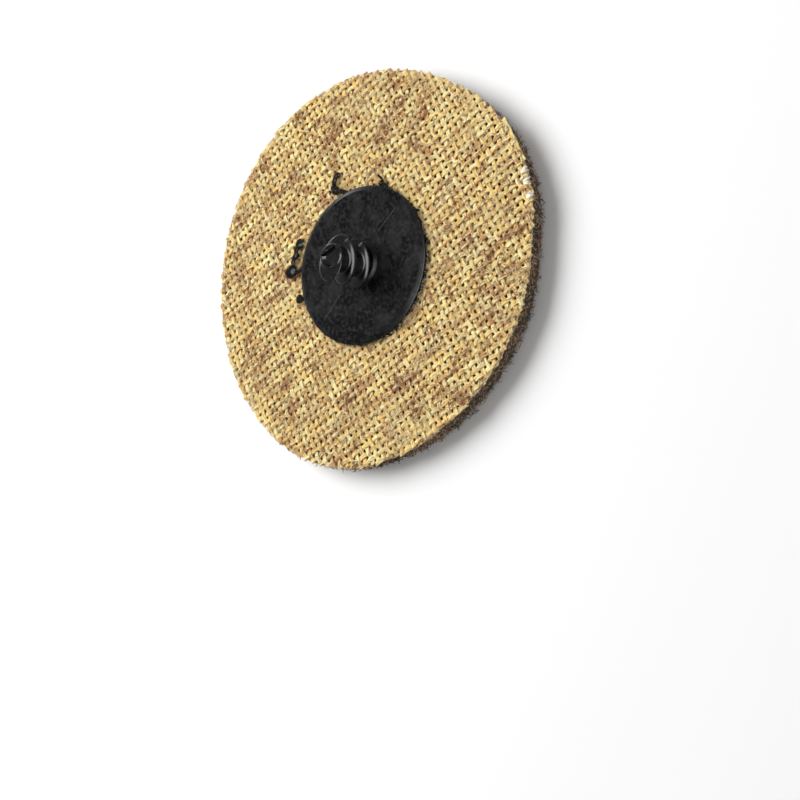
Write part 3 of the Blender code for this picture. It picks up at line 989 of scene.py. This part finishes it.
@dataclass
class AbrasiveWeb:
    """Open non-woven web: a torn felted body with loose fibres at the rim and the face."""

    shoulder: float = 1.2 * MM
    undercut: float = 0.6 * MM
    face_rings: int = 46
    side_rings: int = 9
    shoulder_steps: int = 5
    segments: int = 420
    pit_depth: float = 0.75 * MM
    pit_size: float = 1.1 * MM
    small_pit_size: float = 0.42 * MM
    small_pit_share: float = 0.45
    inset: float = 0.3 * MM
    rim_dark: int = 3000
    rim_tan: int = 2600
    rim_length: Pair = (0.6 * MM, 1.9 * MM)
    rim_reach: float = 0.45 * MM
    stray_share: float = 0.14
    stray_reach: float = 0.95 * MM
    face_dark: int = 2100
    face_tan: int = 1050
    face_length: Pair = (1.5 * MM, 5.0 * MM)
    face_steps: int = 4
    coarse: float = 0.075 * MM
    fine: float = 0.065 * MM
    floor_gap: float = 0.08 * MM

    def __post_init__(self) -> None:
        """Read the web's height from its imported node, and set its radius."""
        self.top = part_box("abrasive_web")[1][2]
        self.radius = DISC_RADIUS - self.inset

    def body(self) -> bpy.types.Object:
        """Make the felted body, with a ragged rim and open pits in the working face.

        Returns:
            The body, cut like the disc.
        """
        start = (self.radius - self.inset, self.top)
        foot = self.radius - self.undercut
        flat = foot - self.shoulder
        profile = [(0.0, self.top), start]
        profile += stretch_points(start, (foot, self.shoulder), self.side_rings)
        profile += arc((flat, self.shoulder), self.shoulder, 0, -90, self.shoulder_steps)[1:]
        profile += stretch_points((flat, 0.0), (0.0, 0.0), self.face_rings)
        bm = turned(profile, self.segments)
        for corner in bm.verts:
            self.roughen(corner)
            follow_cut(corner.co)
        bmesh.ops.translate(bm, vec=WEB_SHIFT, verts=bm.verts)
        return solid_from("web_body", bm)

    def roughen(self, corner: bmesh.types.BMVert) -> None:
        """Move one corner of the body in, to leave pits between the fibres.

        Args:
            corner: The corner.
        """
        place = corner.co
        radius = math.hypot(place.x, place.y)
        if place.z > self.top - 0.01 * MM and radius < self.radius - 1.0 * MM:
            return
        pit = noise.noise(place / self.pit_size)
        pit += self.small_pit_share * noise.noise(place / self.small_pit_size)
        pit = max(pit + 0.05, 0.0)
        if radius > self.radius - self.undercut - self.shoulder:
            spread(place, 1.0 - (1.1 * pit * self.pit_depth) / radius)
        if place.z < self.shoulder:
            place.z += pit * self.pit_depth * (1.0 - place.z / self.shoulder)

    def rim_fibres(self, count: int, seed: Seed) -> list[Strand]:
        """Give loose curled fibres that stand out of the rim.

        Args:
            count: Number of fibres.
            seed: Seed of their places.

        Returns:
            The fibres.
        """
        dice = random.Random(seed)
        strands = []
        for _ in range(count):
            azimuth = dice.uniform(0.0, math.tau)
            height = dice.uniform(0.15 * MM, self.top + 0.35 * MM)
            inset = self.shoulder * max(0.0, 1.0 - height / self.shoulder) ** 2 * 0.8
            inset += self.undercut * max(0.0, 1.0 - height / self.top)
            start = polar(self.radius - inset - dice.uniform(0.1, 0.5) * MM, azimuth, height)
            follow_cut(start)
            outward = polar(1.0, azimuth)
            sideways = Vector((-outward.y, outward.x, 0.0)) * dice.choice((-1.0, 1.0))
            heading = outward * dice.uniform(0.1, 1.2) + sideways * dice.uniform(0.3, 1.3)
            heading.z = dice.gauss(0.0, 0.55)
            reach = self.stray_reach if dice.random() < self.stray_share else self.rim_reach
            limit = math.hypot(start.x, start.y) + reach
            strands.append(self.curl(start, heading, dice, self.rim_length, limit))
        return strands

    def face_fibres(self, count: int, seed: Seed) -> list[Strand]:
        """Give curled fibres that cross the pits of the working face.

        Args:
            count: Number of fibres.
            seed: Seed of their places.

        Returns:
            The fibres.
        """
        dice = random.Random(seed)
        strands = []
        for _ in range(count):
            radius = math.sqrt(dice.random()) * (self.radius - self.shoulder)
            start = polar(radius, dice.uniform(0.0, math.tau), dice.uniform(0.05, 0.5) * MM)
            heading = polar(1.0, dice.uniform(0.0, math.tau), dice.gauss(0.0, 0.2))
            limit = self.radius - MM
            strands.append(self.curl(start, heading, dice, self.face_length, limit, self.face_steps))
        return strands

    def curl(self, start: Vector, heading: Vector, dice: random.Random,
             length: Pair, limit: float, steps: int = 6) -> Strand:
        """Give one curled fibre that turns back at a limiting radius.

        Args:
            start: First point.
            heading: First direction.
            dice: Source of chance.
            length: Shortest and longest fibre.
            limit: Radius that the fibre keeps inside.
            steps: Number of straight runs that it bends through.

        Returns:
            The fibre.
        """
        stride = dice.uniform(*length) / steps
        heading = heading.normalized()
        bend = Vector([dice.gauss(0.0, 0.5) for _ in range(3)])
        place = start.copy()
        strand = []
        for step in range(steps + 1):
            taper = 0.5 + 0.5 * math.sin(math.pi * step / steps)
            strand.append((place + WEB_SHIFT, taper))
            shake = Vector([dice.gauss(0.0, 0.14) for _ in range(3)])
            heading = (heading + bend * 0.45 + shake).normalized()
            place = place + heading * stride
            place.z = min(max(place.z, self.floor_gap), self.top + 0.8 * MM)
            radius = math.hypot(place.x, place.y)
            if radius > limit:
                spread(place, limit / radius)
        return strand

    def build(self, groups: Groups) -> None:
        """Build and dress the web.

        Args:
            groups: The shared node groups.
        """
        dress(self.body(), WEB_FINISH.material(groups), "abrasive_web", "abrasive_web")
        dark = DARK_FIBRE_FINISH.material(groups)
        tan = TAN_FIBRE_FINISH.material(groups)
        for name, strands, radius, finish in (
                ("rim_fibres_dark", self.rim_fibres(self.rim_dark, Seed.RIM_DARK), self.coarse, dark),
                ("rim_fibres_tan", self.rim_fibres(self.rim_tan, Seed.RIM_TAN), self.fine, tan),
                ("face_fibres_dark", self.face_fibres(self.face_dark, Seed.FACE_DARK), self.coarse, dark),
                ("face_fibres_tan", self.face_fibres(self.face_tan, Seed.FACE_TAN), self.fine, tan)):
            dress(sweep(name, strands, Section(radius, radius, 3)), finish, "abrasive_web")


# Curls of bonding plastic: how far past the flange in mm, azimuth in degrees, and width factor
CURLS = (
    ((0.1, 237.5, 1.7), (1.0, 238.6, 1.3), (2.3, 239.0, 1.5), (3.1, 238.4, 2.2), (2.9, 234.8, 1.3),
     (2.8, 231.5, 1.5), (2.3, 228.0, 1.8), (2.5, 224.6, 1.4), (2.1, 221.0, 1.9), (2.7, 218.8, 1.2),
     (2.2, 217.4, 0.7)),
    ((0.1, 168.5, 1.8), (0.7, 170.2, 1.4), (1.3, 173.6, 1.5), (1.9, 176.3, 2.1), (2.5, 177.4, 1.7),
     (3.3, 176.9, 1.2), (3.9, 174.6, 1.5), (4.6, 173.4, 1.3), (5.1, 171.2, 0.9)),
    ((0.1, 132.5, 1.5), (0.7, 134.5, 1.0), (1.4, 137.0, 0.9), (2.2, 140.8, 0.6)),
    ((0.1, 259.5, 1.4), (0.8, 258.9, 1.2), (1.3, 258.2, 1.6), (1.8, 257.4, 1.1)),
    ((0.0, 98.0, 1.2), (0.5, 96.0, 0.9), (0.9, 94.5, 0.5)),
    ((0.0, 129.0, 1.1), (0.5, 131.0, 0.8), (0.7, 135.5, 0.7), (0.3, 138.0, 0.9)),
    ((0.0, 62.0, 1.3), (0.4, 63.5, 0.9), (0.2, 65.5, 0.7)),
    ((0.0, 31.0, 1.3), (0.5, 30.2, 0.9), (0.7, 29.0, 0.5)),
    ((0.0, 4.0, 1.2), (0.4, 5.6, 0.8), (0.2, 7.0, 0.6)),
)

# Drops along the curls: how far past the flange in mm, azimuth in degrees, radius in mm
DROPS = (
    (3.1, 238.6, 1.45),
    (2.2, 220.6, 1.05),
    (2.1, 176.8, 1.05),
    (4.8, 172.2, 0.60),
    (1.5, 257.8, 0.90),
    (2.5, 228.6, 0.70),
    (-0.15, 127.6, 0.40),
    (0.45, 138.6, 0.45),
    (0.35, 165.0, 0.45),
)


@dataclass
class BondLayer:
    """Black bonding plastic that squeezed out round the flange and set in curls."""

    margin: float = 0.10 * MM
    ragged: float = 0.42 * MM
    lift: float = 0.30 * MM
    curl_radius: float = 0.30 * MM
    curl_corners: int = 10
    curl_steps: int = 5
    drop_shape: Triple = (1.0, 0.82, 0.62)
    drop_turn: float = 40.0
    drop_relief: float = 0.10 * MM
    segments: int = 360

    def __post_init__(self) -> None:
        """Read the flange's radius and the layer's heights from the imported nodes."""
        self.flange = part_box("drive_button")[1][0]
        self.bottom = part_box("bond_layer")[0][2] + 0.05 * MM
        self.cloth_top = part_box("scrim_backing")[1][2]

    def skirt(self) -> bpy.types.Object:
        """Make the squeezed-out ring: a torn edge that climbs on the cloth and the flange.

        Returns:
            The ring.
        """
        inner = self.flange - 1.2 * MM
        outer = self.flange + self.margin
        top = self.cloth_top + self.lift
        profile = [(0.0, self.cloth_top + 0.05 * MM), (inner, self.cloth_top + 0.05 * MM)]
        profile += [(self.flange - 0.2 * MM, top - 0.12 * MM), (self.flange + 0.1 * MM, top)]
        profile += [(outer - 0.1 * MM, top - 0.2 * MM), (outer, self.cloth_top)]
        profile += [(outer - 0.25 * MM, self.bottom + 0.1 * MM), (inner, self.bottom), (0.0, self.bottom)]
        bm = turned(profile, self.segments)
        for corner in bm.verts:
            radius = math.hypot(corner.co.x, corner.co.y)
            if radius < inner + 0.1 * MM:
                continue
            share = min(1.0, (radius - inner) / (outer - inner))
            loop = polar(1.0, math.atan2(corner.co.y, corner.co.x))
            tear = noise.noise(loop * 9.0) + 0.9 * noise.noise(loop * 31.0)
            tear += 0.5 * noise.noise(corner.co / (0.3 * MM))
            reach = radius + share * self.ragged * (tear + 0.1)
            spread(corner.co, reach / radius)
            corner.co.z += share * 0.10 * MM * noise.noise(loop * 40.0 + Vector((0, 0, 4)))
        return solid_from("bond_skirt", bm)

    def curls(self) -> bpy.types.Object:
        """Make the round strings of plastic that lie on the cloth.

        Returns:
            The strings.
        """
        strands = []
        for points in CURLS:
            strand = []
            for past, azimuth, width in self.smoothed(points):
                height = self.cloth_top + self.curl_radius * max(width, 0.6) * 0.75
                height += 0.3 * MM * abs(math.sin(past * 1.9))
                place = polar(self.flange + past * MM, math.radians(azimuth), height)
                lump = 1.0 + 0.4 * noise.noise(place / (0.7 * MM))
                strand.append((place, width * lump))
            strands.append(strand)
        section = Section(self.curl_radius, self.curl_radius, self.curl_corners)
        return sweep("bond_curls", strands, section)

    def smoothed(self, points: tuple[Triple, ...]) -> list[Triple]:
        """Give points on a smooth line through listed ones.

        Args:
            points: The listed points.

        Returns:
            The points, with more between them.
        """
        line = []
        for index in range(len(points) - 1):
            before = points[max(index - 1, 0)]
            after = points[min(index + 2, len(points) - 1)]
            ways = list(zip(before, points[index], points[index + 1], after))
            for step in range(self.curl_steps):
                line.append(tuple(self.blend(*way, step / self.curl_steps) for way in ways))
        line.append(points[-1])
        return line

    @staticmethod
    def blend(before: float, start: float, end: float, after: float, share: float) -> float:
        """Give a value on the Catmull-Rom curve through four values.

        Args:
            before: Value before the stretch.
            start: Value at its start.
            end: Value at its end.
            after: Value after it.
            share: Place in the stretch, from 0 to 1.

        Returns:
            The value.
        """
        slope_in = (end - before) / 2
        slope_out = (after - start) / 2
        cube = share ** 3
        square = share ** 2
        return ((2 * cube - 3 * square + 1) * start + (cube - 2 * square + share) * slope_in
                + (3 * square - 2 * cube) * end + (cube - square) * slope_out)

    def drops(self) -> bpy.types.Object:
        """Make the rounded drops where the strings thickened.

        Returns:
            The drops.
        """
        bm = bmesh.new()
        flat = Matrix.Diagonal((*self.drop_shape, 1.0))
        for past, azimuth, radius in DROPS:
            height = self.cloth_top + 0.42 * radius * MM
            place = Matrix.Translation(polar(self.flange + past * MM, math.radians(azimuth), height))
            turn = Matrix.Rotation(math.radians(azimuth + self.drop_turn), 4, "Z")
            bmesh.ops.create_icosphere(bm, subdivisions=4, radius=radius * MM, matrix=place @ turn @ flat)
        for corner in bm.verts:
            corner.co += corner.normal * self.drop_relief * noise.noise(corner.co / (0.45 * MM))
        return solid_from("bond_drops", bm)

    def build(self, groups: Groups) -> None:
        """Build and dress the bonding plastic.

        Args:
            groups: The shared node groups.
        """
        finish = BOND_FINISH.material(groups)
        dress(self.skirt(), finish, "bond_plastic", "bond_layer")
        dress(self.curls(), finish, "bond_plastic")
        dress(self.drops(), finish, "bond_plastic")


@dataclass
class DriveButton:
    """Moulded button: a round flange with a collar at the stub's foot, and a coarse threaded stub."""

    # Steps of the flange's rim: inset and drop in mm
    rim_steps: tuple[Pair, ...] = (
        (0.98, 0.0), (0.88, 0.03), (0.34, 0.33), (0.24, 0.38), (0.12, 0.42), (0.03, 0.52), (0.0, 0.66))
    flange_spare: float = 0.12 * MM
    flange_steps: int = 180
    recess_radius: float = 4.4 * MM
    recess_depth: float = 0.4 * MM
    # Steps of the collar: radius and height above the flange's face in mm
    collar_steps: tuple[Pair, ...] = (
        (3.28, -0.4), (3.36, -0.3), (3.46, 0.36), (3.54, 0.44), (3.66, 0.46), (3.80, 0.40),
        (4.24, 0.04), (4.40, 0.0))
    core_radius: float = 2.55 * MM
    thread_long_radius: float = 4.6 * MM
    thread_short_radius: float = 3.3 * MM
    thread_long_azimuth: float = math.radians(-40)
    thread_pitch: float = 4.0 * MM
    thread_lead: float = 0.3 * MM
    thread_nose: float = 0.65 * MM
    thread_root: float = 1.15 * MM
    thread_below_tip: float = 0.22 * MM
    thread_steps: int = 64
    nose_steps: int = 8
    core_steps: int = 96
    stub_height: float = 8.3 * MM
    tip_round: float = 0.50 * MM
    dish_radius: float = 1.98 * MM
    dish_slope: float = 0.45 * MM
    dish_depth: float = 0.60 * MM
    tip_turn: float = math.radians(-4)
    notch_place: float = -1.2 * MM
    notch_width: float = 0.26 * MM
    notch_depth: float = 0.8 * MM
    notch_ends: Pair = (-2.3 * MM, 5.2 * MM)
    lip_width: float = 0.34 * MM
    lip_ends: Pair = (-2.0 * MM, -0.3 * MM)
    lip_height: float = 1.5 * MM
    fill_width: float = 0.75 * MM
    fill_ends: Pair = (-1.5 * MM, 1.5 * MM)
    fill_drop: float = 0.12 * MM
    seam_turn: float = math.radians(12)
    seam_place: float = -0.95 * MM
    groove_depth: float = 0.8 * MM
    groove_half_width: float = 0.2 * MM
    voxel: float = 0.09 * MM
    soften_factor: float = 0.5
    soften_rounds: int = 2
    dent_place: Pair = (11.5 * MM, -5.5 * MM)
    dent_radius: float = 3.4 * MM
    dent_depth: float = 0.16 * MM
    dent_slope: float = 1.6
    wave_height: float = 0.03 * MM
    wave_length: float = 5.0 * MM
    # Two hairlines on the flange: start and end in mm
    witness: tuple[tuple[Pair, Pair], ...] = (((-4.5, 11.9), (-2.8, 5.9)), ((2.3, -6.4), (4.7, -12.6)))
    witness_steps: int = 12

    def __post_init__(self) -> None:
        """Read the button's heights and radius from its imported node."""
        low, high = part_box("drive_button")
        self.bottom = low[2]
        self.tip = high[2]
        self.face = self.tip - self.stub_height
        self.radius = high[0] + self.flange_spare
        self.root = 0.7 * self.core_radius

    def flange(self) -> bpy.types.Object:
        """Make the flange, its rounded rim, the collar round the foot recess and the shallow dent.

        Returns:
            The flange.
        """
        rim = [(self.radius - inset * MM, self.face - drop * MM) for inset, drop in self.rim_steps]
        profile = [(0.0, self.face - self.recess_depth)]
        profile += [(radius * MM, self.face + height * MM) for radius, height in self.collar_steps]
        profile += stretch_points(profile[-1], rim[0], 22) + rim[1:]
        profile += [(self.radius, self.bottom + 0.2 * MM), (self.radius - 0.2 * MM, self.bottom)]
        profile += [(0.0, self.bottom)]
        bm = turned(profile, self.flange_steps)
        for corner in bm.verts:
            self.dent(corner)
        return solid_from("button_flange", bm, smooth=40)

    def dent(self, corner: bmesh.types.BMVert) -> None:
        """Sink one corner of the flange where it was dented, and wave the rest slightly.

        Args:
            corner: The corner.
        """
        place = corner.co
        if place.z < self.bottom + 0.5 * MM or math.hypot(place.x, place.y) <= self.recess_radius:
            return
        away = math.hypot(place.x - self.dent_place[0], place.y - self.dent_place[1])
        sink = self.dent_depth * math.exp(-((away / self.dent_radius) ** 2) * self.dent_slope)
        place.z -= sink + abs(self.wave_height * noise.noise(place / self.wave_length))

    def crest(self, azimuth: float) -> float:
        """Give the crest's radius, which is oval so that the stub leaves its two-part mould.

        Args:
            azimuth: Angle from +X in radians.

        Returns:
            The radius.
        """
        turn = azimuth - self.thread_long_azimuth
        return 1.0 / math.hypot(
            math.cos(turn) / self.thread_long_radius, math.sin(turn) / self.thread_short_radius)

    def section(self, crest: float) -> Profile:
        """Give the thread ridge's section as radius and height about its middle line."""
        nose = arc((crest - self.thread_nose, 0.0), self.thread_nose, 65, -65, self.nose_steps)
        return [(self.root, self.thread_root)] + nose + [(self.root, -self.thread_root)]

    def ridge(self) -> bpy.types.Object:
        """Make the thread ridge: its section is extruded along the helix, a step at a time.

        Returns:
            The ridge, longer than the stub at both ends.
        """
        rise = self.thread_pitch / math.tau
        first = -(self.thread_lead + self.recess_depth + self.thread_root) / rise
        last = (self.stub_height - self.thread_lead + 1.1 * self.thread_root) / rise
        steps = round(self.thread_steps * (last - first) / math.tau)
        stride = (last - first) / steps
        middle = self.face + self.thread_lead
        bm = bmesh.new()
        before = self.crest(first)
        ring = [bm.verts.new((radius, 0.0, middle + height)) for radius, height in self.section(before)]
        cap = bm.faces.new(ring)
        start = Matrix.Translation((0, 0, rise * first)) @ Matrix.Rotation(first, 4, "Z")
        bmesh.ops.transform(bm, matrix=start, verts=ring)
        for step in range(1, steps + 1):
            angle = first + stride * step
            passed = cap
            grown = bmesh.ops.extrude_face_region(bm, geom=[cap])["geom"]
            cap = next(part for part in grown if isinstance(part, bmesh.types.BMFace))
            if step > 1:
                bmesh.ops.delete(bm, geom=[passed], context="FACES_ONLY")
            move = Matrix.Translation((0, 0, rise * stride)) @ Matrix.Rotation(stride, 4, "Z")
            anchor = Matrix.Rotation(angle, 4, "Z") @ Matrix.Translation((self.root, 0, 0))
            reach = (self.crest(angle) - self.root) / (before - self.root)
            resize = anchor @ Matrix.Diagonal((reach, 1.0, 1.0, 1.0)) @ anchor.inverted()
            bmesh.ops.transform(bm, matrix=resize @ move, verts=list(cap.verts))
            before = self.crest(angle)
        return solid_from("thread_ridge", bm)

    def core(self) -> bpy.types.Object:
        """Make the stub's core with its dished tip.

        Returns:
            The core.
        """
        edge = (self.core_radius - self.tip_round, self.tip - self.tip_round)
        floor = self.tip - self.dish_depth
        profile = [(0.0, floor), (self.dish_radius - self.dish_slope, floor), (self.dish_radius, self.tip)]
        profile += arc(edge, self.tip_round, 90, 0, 6)
        profile += [(self.core_radius, self.bottom + 0.5 * MM), (0.0, self.bottom + 0.5 * MM)]
        return solid_from("stub_core", turned(profile, self.core_steps))

    def block(self, name: str, low: Triple, high: Triple) -> bpy.types.Object:
        """Make a plain block.

        Args:
            name: Name of the block.
            low: Its low corner.
            high: Its high corner.

        Returns:
            The block.
        """
        bm = bmesh.new()
        middle = (Vector(low) + Vector(high)) / 2
        size = Matrix.Diagonal((*(Vector(high) - Vector(low)), 1.0))
        bmesh.ops.create_cube(bm, size=1.0, matrix=Matrix.Translation(middle) @ size)
        return solid_from(name, bm)

    def combine(self, item: bpy.types.Object, tool: bpy.types.Object, operation: str) -> bpy.types.Object:
        """Join or cut two solids and remove the second.

        Args:
            item: The solid to change.
            tool: The solid to join or cut it with.
            operation: The boolean's operation.

        Returns:
            The result, with the first solid's name.
        """
        modifier = item.modifiers.new("combine", "BOOLEAN")
        modifier.operation = operation
        modifier.solver = "EXACT"
        modifier.object = tool
        name = item.name
        mesh = baked_mesh(item)
        bpy.data.objects.remove(tool, do_unlink=True)
        return link_mesh(name, mesh)

    def parted(self, stub: bpy.types.Object) -> bpy.types.Object:
        """Leave the mould's marks: a notch and a lip across the tip, and a seam down the crests.

        Args:
            stub: The plain stub, which is used up.

        Returns:
            The marked stub.
        """
        stub.data.transform(Matrix.Rotation(-self.tip_turn, 4, "Z"))
        left = self.notch_place - self.notch_width / 2
        for width, ends, drop in (
                (self.fill_width, self.fill_ends, self.fill_drop), (self.lip_width, self.lip_ends, 0.0)):
            low = (left - width, ends[0], self.tip - self.lip_height)
            stub = self.combine(stub, self.block("lip", low, (left, ends[1], self.tip - drop)), "UNION")
        notch = self.block("notch", (left, self.notch_ends[0], self.tip - self.notch_depth),
                           (left + self.notch_width, self.notch_ends[1], self.tip + MM))
        stub = self.combine(stub, notch, "DIFFERENCE")
        stub.data.transform(Matrix.Rotation(self.tip_turn - self.seam_turn, 4, "Z"))
        bm = bmesh.new()
        bm.from_mesh(stub.data)
        bpy.data.objects.remove(stub, do_unlink=True)
        for shift in (-1.0, 0.0, 1.0):
            plane = self.seam_place + shift * self.groove_half_width
            bmesh.ops.bisect_plane(
                bm, geom=bm.verts[:] + bm.edges[:] + bm.faces[:], dist=0.0001 * MM,
                plane_co=(plane, 0, 0), plane_no=(1, 0, 0))
        for corner in bm.verts:
            radius = math.hypot(corner.co.x, corner.co.y)
            away = abs(corner.co.x - self.seam_place)
            if away < 0.3 * self.groove_half_width and radius > self.core_radius + self.groove_depth:
                corner.co.y *= 1.0 - self.groove_depth / radius
                corner.co.z -= 0.3 * self.groove_depth
        bmesh.ops.transform(bm, matrix=Matrix.Rotation(self.seam_turn, 4, "Z"), verts=bm.verts)
        return solid_from("rough_stub", bm)

    def stub(self) -> bpy.types.Object:
        """Make the threaded stub, its edges softened as moulded.

        Returns:
            The stub.
        """
        wide = 2.0 * self.thread_long_radius
        trim = self.block("trim", (-wide, -wide, self.bottom + 0.3 * MM),
                          (wide, wide, self.tip - self.thread_below_tip))
        ridge = self.combine(self.ridge(), trim, "INTERSECT")
        rough = self.parted(self.combine(self.core(), ridge, "UNION"))
        remesh = rough.modifiers.new("even", "REMESH")
        remesh.mode = "VOXEL"
        remesh.voxel_size = self.voxel
        soften = rough.modifiers.new("soften", "SMOOTH")
        soften.factor = self.soften_factor
        soften.iterations = self.soften_rounds
        return link_mesh("threaded_stub", baked_mesh(rough))

    def witness_lines(self) -> bpy.types.Object:
        """Make the two raised hairlines that the mould left on the flange.

        Returns:
            The hairlines.
        """
        strands = []
        for ends in self.witness:
            first, last = (Vector((x * MM, y * MM, self.face)) for x, y in ends)
            strand = []
            for step in range(self.witness_steps + 1):
                share = step / self.witness_steps
                place = first.lerp(last, share)
                place.x += 0.08 * MM * noise.noise(place / (1.2 * MM))
                strand.append((place, 0.5 + 0.5 * math.sin(math.pi * share)))
            strands.append(strand)
        return sweep("witness_lines", strands, Section(0.09 * MM, 0.06 * MM, 6), upright=True)

    def build(self, groups: Groups) -> None:
        """Build and dress the button.

        Args:
            groups: The shared node groups.
        """
        finish = BUTTON_FINISH.material(groups)
        dress(self.flange(), finish, "button_plastic", "drive_button")
        dress(self.stub(), STUB_FINISH.material(groups), "button_plastic")
        # The hairlines' lighter grey is a painted highlight
        dress(self.witness_lines(), MOULD_LINE_HIGHLIGHT_FINISH.material(groups), "button_plastic")


@dataclass(frozen=True)
class Softbox:
    """A round area lamp that faces the origin: a light, a card that is only mirrored, or both."""

    name: str
    azimuth: float
    elevation: float
    size: float
    power: float
    distance: float = 0.9
    lights: bool = True
    mirrored: bool = True

    def place(self) -> None:
        """Hang the lamp at its azimuth and elevation."""
        azimuth = math.radians(self.azimuth)
        elevation = math.radians(self.elevation)
        lamp = bpy.data.lights.new(self.name, "AREA")
        lamp.shape = "DISK"
        lamp.size = self.size
        lamp.energy = self.power
        box = linked(self.name, lamp)
        box.location = polar(math.cos(elevation), azimuth, math.sin(elevation)) * self.distance
        box.rotation_euler = (-Vector(box.location)).to_track_quat("-Z", "Y").to_euler()
        box.visible_diffuse = self.lights
        box.visible_glossy = self.mirrored


@dataclass(frozen=True)
class Studio:
    """Pale floor, soft light from one side and the photograph's camera."""

    camera_place: Triple = (164.79 * MM, 152.60 * MM, 253.72 * MM)
    camera_heading: Triple = (-0.423439, -0.483302, -0.766237)
    camera_up: Triple = (-0.834524, 0.537220, 0.122326)
    lens: float = 80.35
    floor_size: float = 3.0
    key: Softbox = Softbox("key", azimuth=218.0, elevation=46.0, size=0.85, power=12.0, mirrored=False)
    card: Softbox = Softbox("card", azimuth=42.0, elevation=36.0, size=1.5, power=34.0, lights=False)
    glint: Softbox = Softbox("glint", azimuth=200.0, elevation=12.0, size=0.2, power=0.5, lights=False)
    sky: float = 0.3
    paper: float = 0.86
    paper_glow: float = 0.07

    def floor(self) -> None:
        """Make the white floor, which shows as plain white but keeps the shadow."""
        bm = bmesh.new()
        bmesh.ops.create_grid(bm, x_segments=1, y_segments=1, size=self.floor_size / 2)
        floor = solid_from("floor", bm)
        material = bpy.data.materials.new("floor_white")
        material.use_nodes = True
        graph = Graph(material.node_tree)
        output = material.node_tree.nodes["Material Output"]
        material.node_tree.nodes.remove(material.node_tree.nodes["Principled BSDF"])
        paper = graph.node("ShaderNodeBsdfDiffuse", {"Color": rgba((self.paper,) * 3)})
        rays = graph.node("ShaderNodeLightPath")
        seen = graph.math("MAXIMUM", rays.outputs["Is Camera Ray"], rays.outputs["Is Glossy Ray"])
        seen = graph.math("MAXIMUM", seen, rays.outputs["Is Transmission Ray"])
        strength = graph.math("MULTIPLY", seen, self.paper_glow)
        glow = graph.node("ShaderNodeEmission", {"Color": (1, 1, 1, 1), "Strength": strength})
        both = graph.node("ShaderNodeAddShader", {0: paper.outputs[0], 1: glow.outputs[0]})
        graph.tree.links.new(both.outputs[0], output.inputs["Surface"])
        floor.data.materials.append(material)

    def lights(self) -> None:
        """Make the lamp, the two mirrored cards and the even light from all round."""
        for lamp in (self.key, self.card, self.glint):
            lamp.place()
        world = bpy.data.worlds.new("sky")
        world.use_nodes = True
        background = world.node_tree.nodes["Background"]
        background.inputs["Color"].default_value = (1.0, 1.0, 1.0, 1.0)
        background.inputs["Strength"].default_value = self.sky
        bpy.context.scene.world = world

    def camera(self) -> None:
        """Make the camera at the photograph's viewing angle."""
        data = bpy.data.cameras.new("camera")
        data.lens = self.lens
        data.sensor_width = 36.0
        data.clip_start = 0.01
        camera = linked("camera", data)
        forward = Vector(self.camera_heading).normalized()
        right = forward.cross(Vector(self.camera_up)).normalized()
        up = right.cross(forward)
        turn = Matrix((right, up, -forward)).transposed().to_4x4()
        camera.matrix_world = Matrix.Translation(self.camera_place) @ turn
        bpy.context.scene.camera = camera

    def build(self) -> None:
        """Set the stage."""
        self.camera()
        self.floor()
        self.lights()
        bpy.context.scene.view_settings.view_transform = "Standard"


def main() -> None:
    """Build the stage and every sub-assembly, from the face up."""
    Studio().build()
    groups = Groups()
    AbrasiveWeb().build(groups)
    BackingCloth().build(groups)
    BondLayer().build(groups)
    DriveButton().build(groups)


if __name__ == "__main__":
    main()
